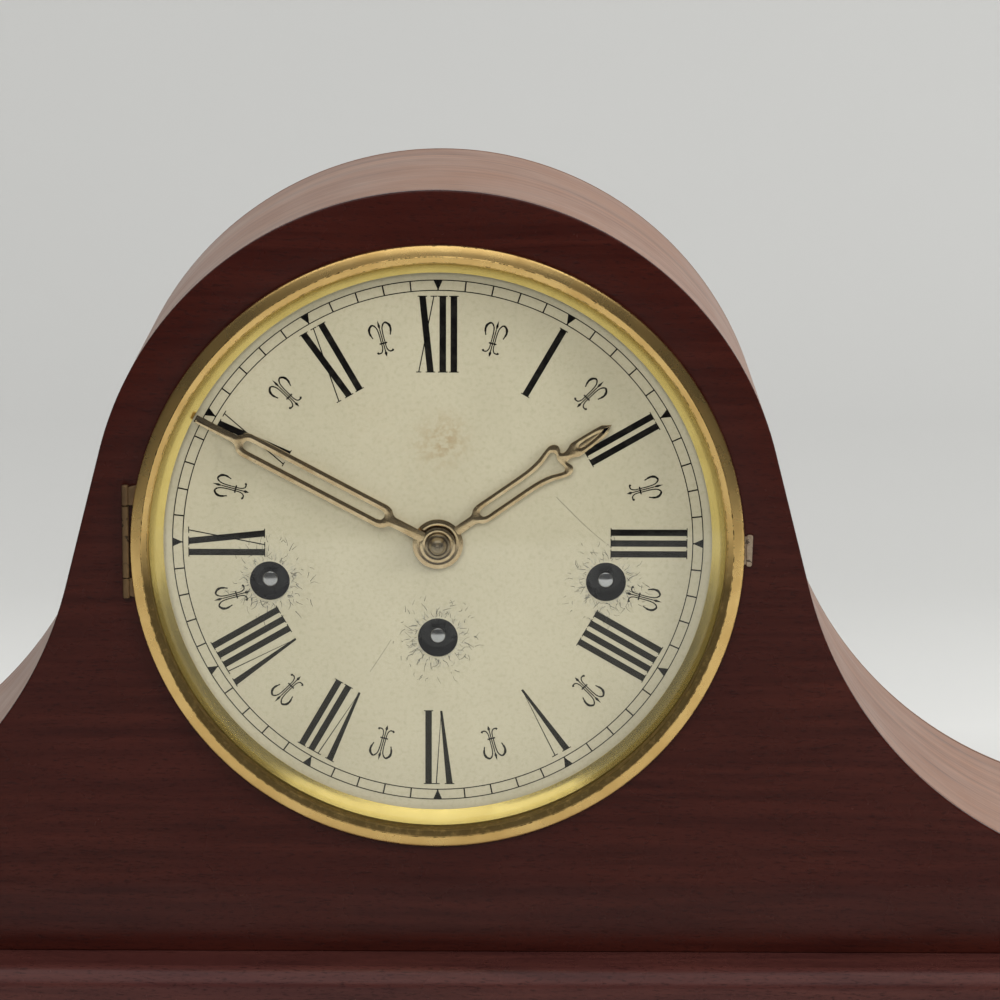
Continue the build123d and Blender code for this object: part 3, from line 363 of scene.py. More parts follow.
looks = {
    "front_wood": woodMaterial("frontWood", mahogany),
    "skin_wood": woodMaterial("skinWood", veneer),
    "base_wood": woodMaterial("baseWood", baseWood),
    "back_wood": woodMaterial("backWood", backWood),
    "plain_wood": woodMaterial("plainWood", plainWood),
    "felt": feltMaterial("felt", greenFelt),
    "bezel_brass": metalMaterial("bezelBrass", bezelBrass),
    "sight_brass": metalMaterial("sightBrass", sightBrass),
    "glass": glassMaterial("glass", clearGlass),
    "hinge_brass": metalMaterial("hingeBrass", hingeBrass),
    "dial_enamel": dialMaterial("dialPaint", dialPaint),
    "hand_gilt": metalMaterial("handGilt", handGilt),
    "nut_metal": metalMaterial("nutMetal", nutMetal),
    "movement_brass": metalMaterial("trainBrass", trainBrass),
    "movement_steel": metalMaterial("trainSteel", steel),
    "blued_steel": metalMaterial("holeShadeSteel", holeShadeSteel),
    "iron": metalMaterial("iron", iron),
    "rod_bronze": metalMaterial("rodBronze", rodBronze),
    "bob_brass": metalMaterial("bobBrass", bobBrass),
}
inkLook = inkMaterial("dialInk", dialInk)
slotOf = {piece["node"]: piece["material_slot"] for piece in frame["record"]["subparts"]}
for name, cad in frame["nodes"].items():
    cad.data.materials.clear()
    cad.data.materials.append(looks[slotOf[name]])
print("materials made")


def addObject(name, data):
    made = bpy.data.objects.new(name, data)
    bpy.context.scene.collection.objects.link(made)
    return made


# A finished visual mesh: material, body, record slot and the CAD nodes it stands for
def finishPiece(name, mesh, body, slot, stands=(), material=None, sharp=32.0):
    mesh.name = name
    mesh.materials.clear()
    mesh.materials.append(material or looks[slot])
    mesh.shade_smooth()
    mesh.set_sharp_from_angle(angle=radians(sharp))
    piece = addObject(name, mesh)
    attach(piece, body)
    if stands:
        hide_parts(*stands)
    return piece


def meshFrom(points, faces):
    mesh = bpy.data.meshes.new("piece")
    mesh.from_pydata([tuple(p) for p in points], [], faces)
    mesh.update()
    return mesh


# The object's evaluated result as a plain mesh, with the object taken away
def plainMesh(holder):
    graph = bpy.context.evaluated_depsgraph_get()
    mesh = bpy.data.meshes.new_from_object(holder.evaluated_get(graph))
    bpy.data.objects.remove(holder)
    return mesh


# Faces turned outwards, after doubles are merged where asked
def cleaned(mesh, merge=True, thin=False):
    work = bmesh.new()
    work.from_mesh(mesh)
    if merge:
        bmesh.ops.remove_doubles(work, verts=work.verts, dist=weldDistance)
    if thin:
        bmesh.ops.dissolve_degenerate(work, edges=work.edges, dist=sliver)
    bmesh.ops.recalc_face_normals(work, faces=work.faces)
    work.to_mesh(mesh)
    work.free()
    return mesh


# Several meshes as one, with the same vertex made only once
def joined(meshes, weld=keepApart):
    work = bmesh.new()
    for mesh in meshes:
        work.from_mesh(mesh)
        bpy.data.meshes.remove(mesh)
    bmesh.ops.remove_doubles(work, verts=work.verts, dist=weld)
    result = bpy.data.meshes.new("piece")
    work.to_mesh(result)
    work.free()
    return result


# Faces between neighbouring rows of points, each row a closed loop
def bandFaces(rows, count, wrap=False):
    faces = []
    for k in range(rows if wrap else rows - 1):
        a, b = k * count, (k + 1) % rows * count
        for i in range(count):
            j = (i + 1) % count
            faces.append((a + i, a + j, b + j, b + i))
    return faces


# A section of (radius, depth) points in mm turned about an axis along Y
def turned(section, steps, centre=(0.0, 0.0)):
    points = []
    for k in range(steps):
        x, z = sin(2 * pi * k / steps), cos(2 * pi * k / steps)
        points += [place(centre[0] + r * x, y, centre[1] + r * z) for r, y in section]
    return cleaned(meshFrom(points, bandFaces(steps, len(section), wrap=True)), thin=True)


# A closed row of points with its corners rounded by short arcs
def rounded(points, radius, steps=4):
    result = []
    count = len(points)
    for k in range(count):
        before, here, after = (Vector(points[(k + d) % count]) for d in (-1, 0, 1))
        inward, outward = before - here, after - here
        bend = pi - inward.angle(outward, 0.0)
        reach = radius * abs(sin(bend / 2) / max(cos(bend / 2), 0.05))
        reach = min(reach, 0.45 * inward.length, 0.45 * outward.length)
        start, end = here + inward.normalized() * reach, here + outward.normalized() * reach
        if bend < 0.2:
            result.append(tuple(here))
            continue
        for i in range(steps + 1):
            t = i / steps
            result.append(tuple((1 - t) ** 2 * start + 2 * t * (1 - t) * here + t * t * end))
    return result


# A smooth open run of points through the given ones
def smoothRun(points, steps=8):
    result = []
    last = len(points) - 1
    for k in range(last):
        picks = [min(max(k + d, 0), last) for d in (-1, 0, 1, 2)]
        p0, p1, p2, p3 = (Vector(points[i]) for i in picks)
        for i in range(steps):
            t = i / steps
            square = 2 * p0 - 5 * p1 + 4 * p2 - p3
            cube = 3 * p1 - p0 - 3 * p2 + p3
            point = 0.5 * (2 * p1 + (p2 - p0) * t + square * t * t + cube * t ** 3)
            result.append(tuple(point))
    result.append(tuple(points[-1]))
    return result


def box(left, low, right, high):
    return [(left, low), (right, low), (right, high), (left, high)]


def ring(radius, steps):
    return [(radius * sin(2 * pi * k / steps), radius * cos(2 * pi * k / steps))
            for k in range(steps)]


# Outlines in the XZ plane, mm, filled to a sheet whose edges are drawn in near its two faces
def sheetMesh(loops, half, edge, edgeSteps, depthOf):
    curve = bpy.data.curves.new("outline", "CURVE")
    curve.dimensions = "2D"
    curve.fill_mode = "BOTH"
    curve.extrude = half - edge
    curve.bevel_depth = edge
    curve.bevel_resolution = edgeSteps
    curve.offset = -edge
    for loop in loops:
        spline = curve.splines.new("POLY")
        spline.points.add(len(loop) - 1)
        for point, (x, z) in zip(spline.points, loop):
            point.co = (x, z, 0.0, 1.0)
        spline.use_cyclic_u = True
    mesh = plainMesh(addObject("outline", curve))
    bpy.data.curves.remove(curve)
    for vertex in mesh.vertices:
        x, z, lift = vertex.co
        vertex.co = place(x, depthOf(lift), z)
    return cleaned(mesh)


def flatMesh(loops, yFront, yBack, edge, edgeSteps=3):
    middle = (yFront + yBack) / 2
    return sheetMesh(loops, (yBack - yFront) / 2, edge, edgeSteps, lambda lift: middle - lift)


# Flat at the back, with a roof of two slopes at the front
def roofMesh(loops, yFront, yBack, slope, wall):
    def depthOf(lift):
        up, over = min(max(lift / slope, 0.0), 1.0), max(lift / slope - 1.0, 0.0)
        return yBack - (yBack - yFront) * (wall * up + (1 - wall) * over)
    return sheetMesh(loops, 2 * slope, slope, 0, depthOf)


# A cylinder with softened rims, standing along Z
def uprightMesh(x, y, radius, zLow, zHigh, edge, steps=40):
    section = [(0.0, zLow), (radius - edge, zLow), (radius, zLow + edge),
               (radius, zHigh - edge), (radius - edge, zHigh), (0.0, zHigh)]
    points, faces = [], []
    count = len(section)
    for k in range(steps):
        angle = 2 * pi * k / steps
        points += [place(x + r * cos(angle), y + r * sin(angle), z) for r, z in section]
    for k in range(steps):
        a, b = k * count, (k + 1) % steps * count
        faces += [(a + i, b + i, b + i + 1, a + i + 1) for i in range(count - 1)]
    return joined([meshFrom(points, faces)], weldDistance)


caseShape = {"hump": 87.8, "rise": 3.2, "leave": 75.56, "flank": 36.4, "cove": 101.4,
             "wingRun": 19.7, "drop": 106.0, "endRound": 8.0, "depth": 90.8, "facing": 2.0,
             "panel": 9.0, "skin": 5.0, "skinSoft": 0.3, "glue": 0.1, "dialHole": 75.4,
             "doorHole": 64.0, "edge": 0.45, "innerEdge": 0.1, "arcSteps": 48, "endSteps": 12,
             "holeSteps": 192}


# Front outline of the case from the crest down the right side, drawn in by an inset
def caseSide(inset):
    s = caseShape
    leave = radians(s["leave"])
    reach = s["hump"] + s["cove"]
    coveX = reach * sin(leave) + s["flank"] * cos(leave)
    coveZ = s["rise"] + reach * cos(leave) - s["flank"] * sin(leave)
    hump, cove, turn = s["hump"] - inset, s["cove"] + inset, s["endRound"] - inset
    turnX, turnZ = coveX + s["wingRun"] - inset - turn, coveZ - cove - turn
    arc = [leave * k / s["arcSteps"] for k in range(s["arcSteps"] + 1)]
    end = [pi / 2 * k / s["endSteps"] for k in range(s["endSteps"] + 1)]
    points = [(hump * sin(a), s["rise"] + hump * cos(a)) for a in arc]
    points += [(coveX - cove * sin(a), coveZ - cove * cos(a)) for a in reversed(arc)]
    points += [(turnX + turn * sin(a), turnZ + turn * cos(a)) for a in end]
    return points + [(turnX + turn, -s["drop"])]


def caseRun(inset):
    side = caseSide(inset)
    return [(-x, z) for x, z in reversed(side)] + side[1:]


# A facing over the edge of the bent board, and a core inside it
def panelMesh(yOuter, yInner, hole):
    s = caseShape
    yJoin = yOuter + (s["facing"] if yInner > yOuter else -s["facing"])
    opening = ring(hole, s["holeSteps"])
    facing = flatMesh([caseRun(0.0), opening], *sorted((yOuter, yJoin)), s["edge"])
    inside = caseRun(s["skin"] + s["glue"])
    core = flatMesh([inside, opening], *sorted((yJoin, yInner)), s["innerEdge"])
    return joined([facing, core])


depth, panel = caseShape["depth"], caseShape["panel"]
finishPiece("frontPanel", panelMesh(0.0, panel, caseShape["dialHole"]), "case", "front_wood",
            ["front_panel"])
finishPiece("backPanel", panelMesh(depth, depth - panel, caseShape["doorHole"]), "case",
            "back_wood", ["back_panel"])


# The bent board over the top; its UV runs along the curve and across the depth, in metres
def skinMesh():
    s = caseShape
    front, back, soft, thick = s["facing"], depth - s["facing"], s["skinSoft"], s["skin"]
    section = [(soft, front), (0.0, front + soft), (0.0, back - soft), (soft, back),
               (thick - soft, back), (thick, back - soft), (thick, front + soft),
               (thick - soft, front)]
    runs = {inset: caseRun(inset) for inset, _ in section}
    count, steps = len(section), len(runs[0.0])
    length = [0.0]
    for a, b in zip(runs[0.0], runs[0.0][1:]):
        length.append(length[-1] + hypot(b[0] - a[0], b[1] - a[1]))
    points = [place(runs[inset][k][0], y, runs[inset][k][1])
              for k in range(steps) for inset, y in section]
    last = (steps - 1) * count
    ends = [tuple(range(count)), tuple(reversed(range(last, last + count)))]
    mesh = meshFrom(points, bandFaces(steps, count) + ends)
    layer = mesh.uv_layers.new(name="grain")
    for loop in mesh.loops:
        k, i = divmod(loop.vertex_index, count)
        layer.data[loop.index].uv = (length[k] * mm, section[i][1] * mm)
    return cleaned(mesh, merge=False)


finishPiece("topSkin", skinMesh(), "case", "skin_wood", ["top_skin"])
baseShape = {"halfWidth": 220.0, "front": -16.6, "back": 107.4, "low": -118.0, "high": -106.0,
             "corner": 10.0, "cornerSteps": 10, "topRound": 5.0, "lowRound": 0.8}


# Base board: a rounded plan drawn in level by level
def baseMesh():
    s = baseShape
    soft, top, steps = s["lowRound"], s["topRound"], s["cornerSteps"]
    levels = [(soft, s["low"]), (soft * 0.3, s["low"] + soft * 0.3), (0.0, s["low"] + soft)]
    for a in range(0, 91, 10):
        levels.append((top * (1 - cos(radians(a))), s["high"] - top * (1 - sin(radians(a)))))
    points, count = [], 4 * steps
    for inset, z in levels:
        r = s["corner"] - inset
        for k in range(count):
            quarter, step = divmod(k, steps)
            a = pi / 2 * (quarter + step / (steps - 1))
            right, far = quarter in (0, 3), quarter in (0, 1)
            x = (s["halfWidth"] - s["corner"]) * (1 if right else -1) + r * cos(a)
            y = (s["back"] - s["corner"] if far else s["front"] + s["corner"]) + r * sin(a)
            points.append(place(x, y, z))
    last = (len(levels) - 1) * count
    ends = [tuple(reversed(range(count))), tuple(range(last, last + count))]
    return meshFrom(points, bandFaces(len(levels), count) + ends)


finishPiece("baseBoard", baseMesh(), "case", "base_wood", ["base_board"])
print("case made")

turnSteps = {"bezel": 256, "glass": 128, "track": 288, "hub": 96, "tip": 64}
bezelShape = {"rim": 77.45, "edge": -1.5, "band": [(77.22, -1.86), (76.2, -2.26)],
              "ridge": 74.6, "stand": -2.6, "nose": 0.15, "back": -0.3, "lip": (73.15, -2.3),
              "throat": (73.0, 1.2), "skirt": (73.9, 74.7, 5.4), "soft": 0.12, "lipSoft": 0.2}
hingeShape = {"x": -78.55, "y": -1.2, "radius": 0.9, "ears": [(11.2, 16.4), (-12.7, -7.6)],
              "root": -75.2, "front": -1.4, "back": -0.3, "soft": 0.2, "sweep": 2.2}
tabShape = {"inner": 76.6, "step": 77.95, "end": 79.6, "half": 4.1, "front": -1.2,
            "web": -0.55, "back": -0.3, "shy": 0.5, "lean": 0.25, "round": 0.7,
            "webEdge": 0.08, "gripEdge": 0.3}


def bezelMesh():
    s = bezelShape
    rim, back, soft, stand = s["rim"], s["back"], s["soft"], s["stand"]
    ridge, half = s["ridge"], s["nose"]
    inner, outer, low = s["skirt"]
    throat, throatY = s["throat"]
    band = smoothRun([(rim, s["edge"])] + s["band"] + [(ridge + half, stand)], 8)
    nose = smoothRun([(ridge + half, stand), (ridge, stand - half / 2), (ridge - half, stand)], 5)
    section = [(outer, back), (rim - soft, back), (rim, back - soft)] + band[:-1] + nose
    section += [s["lip"], (throat, s["lip"][1] + s["lipSoft"]), (throat, throatY)]
    section += [(inner, throatY), (inner, low), (outer, low)]
    return turned(section, turnSteps["bezel"])


# Hinge ears: a knuckle each, with a strap that curves into the rim
def earMesh():
    s = hingeShape
    x, root, soft = s["x"], s["root"], s["soft"]
    meshes = []
    for low, high in s["ears"]:
        meshes.append(uprightMesh(x, s["y"], s["radius"], low, high, soft))
        upper = high > 0
        outer, inner = (high, low) if upper else (low, high)
        turn = s["sweep"] if upper else -s["sweep"]
        bend = [(x - 0.1, outer - turn * 0.9), (x + 0.7, outer - turn * 0.3), (root, outer)]
        strap = smoothRun(bend, 6) + [(root, inner), (x - 0.1, inner)]
        meshes.append(flatMesh([strap[::-1] if upper else strap], s["front"], s["back"], soft))
    return joined(meshes)


# Lift tab: a thin web under the rim and a thicker grip beyond it
def tabMesh():
    s = tabShape
    half, end, step = s["half"], s["end"], s["step"]
    web = box(s["inner"], -half + s["shy"], end - s["shy"], half - s["shy"])
    grip = [(step, -half), (end - s["lean"], -half), (end, half), (step, half)]
    return joined([flatMesh([web], s["web"], s["back"], s["webEdge"]),
                   flatMesh([rounded(grip, s["round"])], s["front"], s["back"], s["gripEdge"])])


finishPiece("bezelRing", bezelMesh(), "bezel", "bezel_brass", ["bezel_ring"])
finishPiece("hingeEars", earMesh(), "bezel", "bezel_brass", material=looks["hinge_brass"])
finishPiece("liftTab", tabMesh(), "bezel", "bezel_brass",
            material=metalMaterial("tabBrass", tabBrass))
glassShape = {"rim": 73.7, "rise": 6.3, "front": 1.3, "thick": 1.7, "rows": 40}
sightShape = {"outer": 73.7, "front": 3.1, "back": 5.8,
              "cove": [(73.0, 3.1), (72.3, 3.75), (71.5, 4.4), (70.6, 4.98), (69.6, 5.5)]}


# Convex glass: two faces of a shallow sphere
def glassMesh():
    s = glassShape
    rim, rise, rows = s["rim"], s["rise"], s["rows"]
    sphere = (rim * rim + rise * rise) / (2 * rise)
    centre = s["front"] - rise + sphere
    radii = [rim * k / rows for k in range(rows + 1)]
    dome = [(r, centre - sqrt(sphere * sphere - r * r)) for r in radii]
    return turned(dome + [(r, y + s["thick"]) for r, y in reversed(dome)], turnSteps["glass"])


# The coved brass ring behind the edge of the glass
def sightMesh():
    s = sightShape
    cove = smoothRun(s["cove"], 5)
    section = [(s["outer"], s["front"])] + cove + [(cove[-1][0], s["back"])]
    return turned(section + [(s["outer"], s["back"])], turnSteps["bezel"])


finishPiece("bezelGlass", glassMesh(), "bezel", "glass", ["bezel_glass"], sharp=60.0)
finishPiece("sightRing", sightMesh(), "bezel", "sight_brass", ["sight_ring"])
print("bezel made")

printFront, printBack = 7.455, 7.52  # ink stands just proud of the dial's face


# Thin printed shapes from convex outlines in the dial plane
def inkMesh(shapes):
    points, faces = [], []
    for shape in shapes:
        area = sum(a[0] * b[1] - b[0] * a[1] for a, b in zip(shape, shape[1:] + shape[:1]))
        loop = shape if area > 0 else shape[::-1]
        start, count = len(points), len(loop)
        under = start + count
        points += [place(x, y, z) for y in (printFront, printBack) for x, z in loop]
        faces.append(tuple(start + i for i in range(count)))
        faces.append(tuple(under + i for i in reversed(range(count))))
        for i in range(count):
            j = (i + 1) % count
            faces.append((start + j, start + i, under + i, under + j))
    return meshFrom(points, faces)


# A line as short pieces; two widths taper it evenly, more are taken in turn
def stroke(points, widths):
    count, last = len(points), len(points) - 1
    sides = []
    for k, (x, z) in enumerate(points):
        before, after = Vector(points[max(k - 1, 0)]), Vector(points[min(k + 1, last)])
        along = (after - before).normalized()
        if len(widths) == 2:
            wide = widths[0] + (widths[1] - widths[0]) * k / last
        else:
            wide = widths[min(k * len(widths) // count, len(widths) - 1)]
        offX, offZ = along.y * wide / 2, along.x * wide / 2
        sides.append(((x - offX, z + offZ), (x + offX, z - offZ)))
    return [[a, b, d, c] for (a, b), (c, d) in zip(sides, sides[1:])]


# The same shape repeated round the dial
def ringTree():
    tree = bpy.data.node_groups.new("ringRepeat", "GeometryNodeTree")
    sockets = tree.interface
    sockets.new_socket("Geometry", in_out="INPUT", socket_type="NodeSocketGeometry")
    for label, kind, value in (("Count", "NodeSocketInt", 12), ("Start", "NodeSocketFloat", 0.0),
                               ("Centre", "NodeSocketVector", (0.0, 0.0, 0.0)),
                               ("Finish", "NodeSocketMaterial", None)):
        socket = sockets.new_socket(label, in_out="INPUT", socket_type=kind)
        if value is not None:
            socket.default_value = value
    sockets.new_socket("Geometry", in_out="OUTPUT", socket_type="NodeSocketGeometry")
    given = node(tree, "NodeGroupInput").outputs
    inward = vectorMaths(tree, "MULTIPLY", given["Centre"], (-1.0, -1.0, -1.0))
    home = node(tree, "GeometryNodeTransform",
                {"Geometry": given["Geometry"], "Translation": inward})
    line = node(tree, "GeometryNodeMeshLine", {"Count": given["Count"], "Offset": (0.0, 0.0, 0.0)})
    index = node(tree, "GeometryNodeInputIndex").outputs[0]
    share = maths(tree, "DIVIDE", index, given["Count"])
    angle = maths(tree, "ADD", times(tree, share, 2 * pi), given["Start"])
    copies = node(tree, "GeometryNodeInstanceOnPoints",
                  {"Points": line.outputs[0], "Instance": home.outputs[0],
                   "Rotation": vectorOf(tree, {1: angle})})
    real = node(tree, "GeometryNodeRealizeInstances", {0: copies.outputs[0]})
    back = node(tree, "GeometryNodeTransform",
                {"Geometry": real.outputs[0], "Translation": given["Centre"]})
    finish = node(tree, "GeometryNodeSetMaterial",
                  {"Geometry": back.outputs[0], "Material": given["Finish"]})
    node(tree, "NodeGroupOutput", {0: finish.outputs[0]})
    return tree


ringRepeat = ringTree()


def ringMesh(one, count, start, material):
    holder = addObject("repeat", one)
    modifier = holder.modifiers.new("ring", "NODES")
    modifier.node_group = ringRepeat
    given = {"Count": count, "Start": start, "Centre": place(0.0, 0.0, 0.0), "Finish": material}
    for item in ringRepeat.interface.items_tree:
        if item.in_out == "INPUT" and item.name in given:
            modifier[item.identifier] = given[item.name]
    holder.update_tag()
    result = plainMesh(holder)
    bpy.data.meshes.remove(one)
    return result


track = {"outer": 67.4, "inner": 64.8, "line": 0.25, "tick": 0.36, "wedge": 2.3}
numerals = {"top": 63.3, "foot": 44.0, "thick": 1.65, "thin": 0.28, "serif": 0.24, "point": 0.35}
# Advance, and strokes of (top u, foot u, width, top serif, foot serif)
letters = {"I": (2.8, [(0.0, 0.0, "thick", 2.4, 2.4)]),
           "V": (4.7, [(-1.65, 0.5, "thick", 2.5, 0.0), (1.75, 0.5, "thin", 1.7, 0.0)]),
           "X": (5.2, [(-1.13, 0.9, "thick", 2.4, 2.4), (1.75, -2.05, "thin", 1.7, 1.3)])}
hours = ["XII", "I", "II", "III", "IIII", "V", "VI", "VII", "VIII", "IX", "X", "XI"]
lilyShape = {"radius": 54.3, "tieAt": -1.2, "tie": 1.0, "tieWidth": 0.36, "stem": 0.13,
             "curl": [(0.48, -1.2), (0.5, 1.4), (0.78, 3.0), (1.6, 3.85), (2.5, 3.2),
                      (2.72, 2.0), (2.25, 0.5)],
             "hook": [(0.48, -1.2), (0.52, -2.5), (0.95, -3.4), (1.7, -3.55), (2.05, -3.2)],
             "curlWidths": [0.26, 0.28, 0.3, 0.38, 0.52, 0.62, 0.5, 0.3],
             "hookWidths": [0.26, 0.28, 0.34, 0.52],
             "spear": [(0.0, 2.2), (0.32, 3.3), (0.0, 4.8), (-0.32, 3.3)],
             "foot": [(0.0, -3.0), (0.36, -3.8), (0.0, -4.75), (-0.36, -3.8)]}
scratchLook = {"seed": 11, "count": 120, "inner": 5.4, "reach": 6.0, "length": (0.5, 2.4),
               "width": (0.07, 0.16), "lean": 0.75, "bend": 0.12, "taper": 0.4,
               "long": [[(-17.3, -33.7), (-14.2, -29.0), (-11.8, -25.1)],
                        [(30.0, 12.0), (38.0, 4.0), (44.0, -1.0)]], "longWidths": [0.07, 0.035]}
rimSection = [(5.1, 7.62), (5.1, 7.44), (5.2, 7.4), (5.36, 7.44), (5.45, 7.52)]


def trackMesh():
    s = track
    half, wide, point = s["line"] / 2, s["tick"] / 2, s["wedge"] / 2
    outer, inner = s["outer"], s["inner"]
    lines = [turned(box(r - half, printFront, r + half, printBack), turnSteps["track"])
             for r in (outer, inner)]
    ticks = ringMesh(inkMesh([box(-wide, inner, wide, outer)]), 60, 0.0, inkLook)
    wedge = [(-point, outer), (0.0, inner), (point, outer)]
    return joined(lines + [ticks, ringMesh(inkMesh([wedge]), 12, 0.0, inkLook)])


def numeralShapes(text):
    shapes = []
    foot, top, serif = numerals["foot"], numerals["top"], numerals["serif"] / 2
    at = -sum(letters[c][0] for c in text) / 2
    for c in text:
        advance, strokes = letters[c]
        mid = at + advance / 2
        for topU, footU, weight, topSerif, footSerif in strokes:
            w = numerals[weight] / 2
            end = w if footSerif else w * numerals["point"]
            a, b = mid + topU, mid + footU
            shapes.append([(a - w, top), (a + w, top), (b + end, foot), (b - end, foot)])
            for span, level, u in ((topSerif / 2, top, a), (footSerif / 2, foot, b)):
                if span:
                    shapes.append(box(u - span, level - serif, u + span, level + serif))
        at += advance
    return shapes


def turnedPoint(point, lean):
    a = radians(lean)
    return (point[0] * cos(a) + point[1] * sin(a), point[1] * cos(a) - point[0] * sin(a))


# Half-hour ornament: a spear between two curls, tied by a bar, with three small feet
def lilyShapes():
    s = lilyShape
    curl, hook = smoothRun(s["curl"], 6), smoothRun(s["hook"], 5)
    shapes = stroke([(-s["tie"], s["tieAt"]), (s["tie"], s["tieAt"])], [s["tieWidth"]] * 2)
    for side in (1, -1):
        for run, widths in ((curl, s["curlWidths"]), (hook, s["hookWidths"])):
            shapes += stroke([(side * u, v) for u, v in run], widths)
    shapes += [box(-s["stem"], -3.2, s["stem"], 2.4), s["spear"], s["foot"]]
    return [[(u, v + s["radius"]) for u, v in shape] for shape in shapes]


# Hairlines left by the key round each winding hole, and two long ones
def scratchShapes():
    s = scratchLook
    chance = random.Random(s["seed"])
    shapes = []
    for x, z in windingHoles.values():
        for _ in range(s["count"]):
            turn = chance.uniform(0.0, 2 * pi)
            away = s["inner"] + s["reach"] * chance.random() ** 2
            lean, size = turn + chance.gauss(0.0, s["lean"]), chance.uniform(*s["length"])
            bend, wide = chance.gauss(0.0, s["bend"]) * size, chance.uniform(*s["width"])
            start = Vector((x + away * sin(turn), z + away * cos(turn)))
            along, across = Vector((sin(lean), cos(lean))), Vector((cos(lean), -sin(lean)))
            path = [start, start + along * size / 2 + across * bend, start + along * size]
            if all(hypot(p.x - x, p.y - z) > s["inner"] for p in path):
                shapes += stroke([tuple(p) for p in path], [wide, wide * s["taper"]])
    for path in s["long"]:
        shapes += stroke(smoothRun(path, 6), s["longWidths"])
    return shapes


finishPiece("minuteTrack", trackMesh(), "case", "dial_enamel", material=inkLook)
figures = [[turnedPoint(p, 30 * k) for p in shape]
           for k, text in enumerate(hours) for shape in numeralShapes(text)]
finishPiece("numerals", inkMesh(figures), "case", "dial_enamel", material=inkLook)
finishPiece("halfHourMarks", ringMesh(inkMesh(lilyShapes()), 12, pi / 12, inkLook), "case",
            "dial_enamel", material=inkLook)
finishPiece("keyScratches", inkMesh(scratchShapes()), "case", "dial_enamel",
            material=inkMaterial("scratchInk", scratchInk))
rims = [turned(rimSection, turnSteps["hub"], hole) for hole in windingHoles.values()]
finishPiece("holeRims", joined(rims), "case", "dial_enamel")
print("dial made")

minuteHand = {"lean": 298.0, "front": 4.2, "back": 4.8, "hub": 4.5, "bore": 1.05,
              "hubCrest": 3.85, "neck": 2.6, "neckEnd": 13.6, "width": 6.2, "bar": 1.8,
              "bodyEnd": 57.3, "pointer": 2.1, "tip": 69.2, "slope": 0.82, "wall": 0.77,
              "hubLow": 0.12}
hourHand = {"lean": 54.83, "front": 5.6, "back": 6.2, "hub": 6.4, "bore": 2.95, "hubCrest": 5.4,
            "neck": 2.3, "neckEnd": 11.6, "width": 5.2, "bar": 1.45, "bodyEnd": 26.6,
            "tip": 53.6, "slope": 0.66, "wall": 0.8, "hubLow": 0.17, "leafFloor": 5.9}
nutSection = [(1.05, 4.2), (3.1, 4.2), (3.1, 3.4), (2.95, 3.15), (2.6, 3.05), (2.45, 3.2),
              (2.3, 3.05), (2.15, 2.6), (1.9, 2.2), (1.65, 1.85), (1.3, 1.65), (1.05, 1.6)]
pinSection = [(0.0, 0.5), (0.34, 0.52), (0.52, 0.6), (0.6, 0.72), (0.68, 0.77), (1.0, 0.78),
              (1.04, 0.84), (1.04, 1.5), (0.0, 1.5)]
domeShape = {"radius": 8.0, "apex": 9.75, "spread": 13, "collar": 1.95, "neck": 10.1,
             "foot": 10.6}


def mirrored(right):
    return right + [(-u, v) for u, v in reversed(right) if abs(u) > 1e-6]


# Outline and slot, as (across, along) in mm from the hand's centre
def minuteLoops():
    s = minuteHand
    n, w, p, inner = s["neck"] / 2, s["width"] / 2, s["pointer"] / 2, s["width"] / 2 - s["bar"]
    start, end, tip = s["neckEnd"], s["bodyEnd"], s["tip"]
    foot = [(n, start - 0.9), (n + 0.35, start - 0.1), (w - 0.5, start + 0.9), (w, start + 2.2)]
    head = [(w, end - 2.4), (w - 0.45, end - 1.1), (p + 0.5, end - 0.1), (p, end + 0.8)]
    outer = [(n, s["hub"] - 1.2)] + smoothRun(foot, 6) + smoothRun(head, 6)
    outer += [(p - 0.05, tip - 0.15), (p - 0.2, tip)]
    low, high = start + 3.4, end - 3.4
    slot = smoothRun([(0.0, start + 1.75), (inner * 0.75, start + 2.2), (inner, low)], 5)[:-1]
    slot += smoothRun([(inner, low), (inner, high)], 2)
    slot += smoothRun([(inner, high), (inner * 0.75, end - 2.2), (0.0, end - 1.75)], 5)
    return [mirrored(outer), mirrored(slot)]


# Outline, slot and the hollow of the leaf
def hourLoops():
    s = hourHand
    n, w, inner = s["neck"] / 2, s["width"] / 2, s["width"] / 2 - s["bar"]
    start, end = s["neckEnd"], s["bodyEnd"]
    foot = [(n, start - 0.8), (n + 0.3, start), (w - 0.4, start + 0.9), (w, start + 2.2)]
    flare = [(w, end), (w + 0.1, 29.5), (w + 0.62, 33.0), (w + 1.5, 35.8), (4.52, 37.6),
             (4.1, 38.9), (3.2, 39.5), (2.2, 39.3), (1.5, 39.0), (1.12, 39.5), (1.1, 40.2),
             (1.35, 41.1), (1.9, 42.3), (1.97, 43.1), (1.8, 46.5), (1.55, 50.0), (1.35, 51.5)]
    outer = [(n, s["hub"] - 1.2)] + smoothRun(foot, 6) + smoothRun(flare, 6) + [(0.0, s["tip"])]
    slotFoot = [(0.0, start + 1.6), (inner * 0.75, start + 2.05), (inner, start + 3.2)]
    slotHead = [(inner, end), (inner + 0.12, 30.0), (inner + 0.62, 33.3), (inner + 1.35, 35.4),
                (2.95, 36.9), (2.5, 37.6), (1.75, 37.75), (0.9, 37.45), (0.0, 37.3)]
    slot = smoothRun(slotFoot, 5) + smoothRun(slotHead, 6)
    leaf = smoothRun([(0.0, 43.3), (0.55, 44.2), (0.62, 46.0), (0.4, 48.6), (0.0, 50.6)], 6)
    return [mirrored(outer), mirrored(slot), mirrored(leaf)]


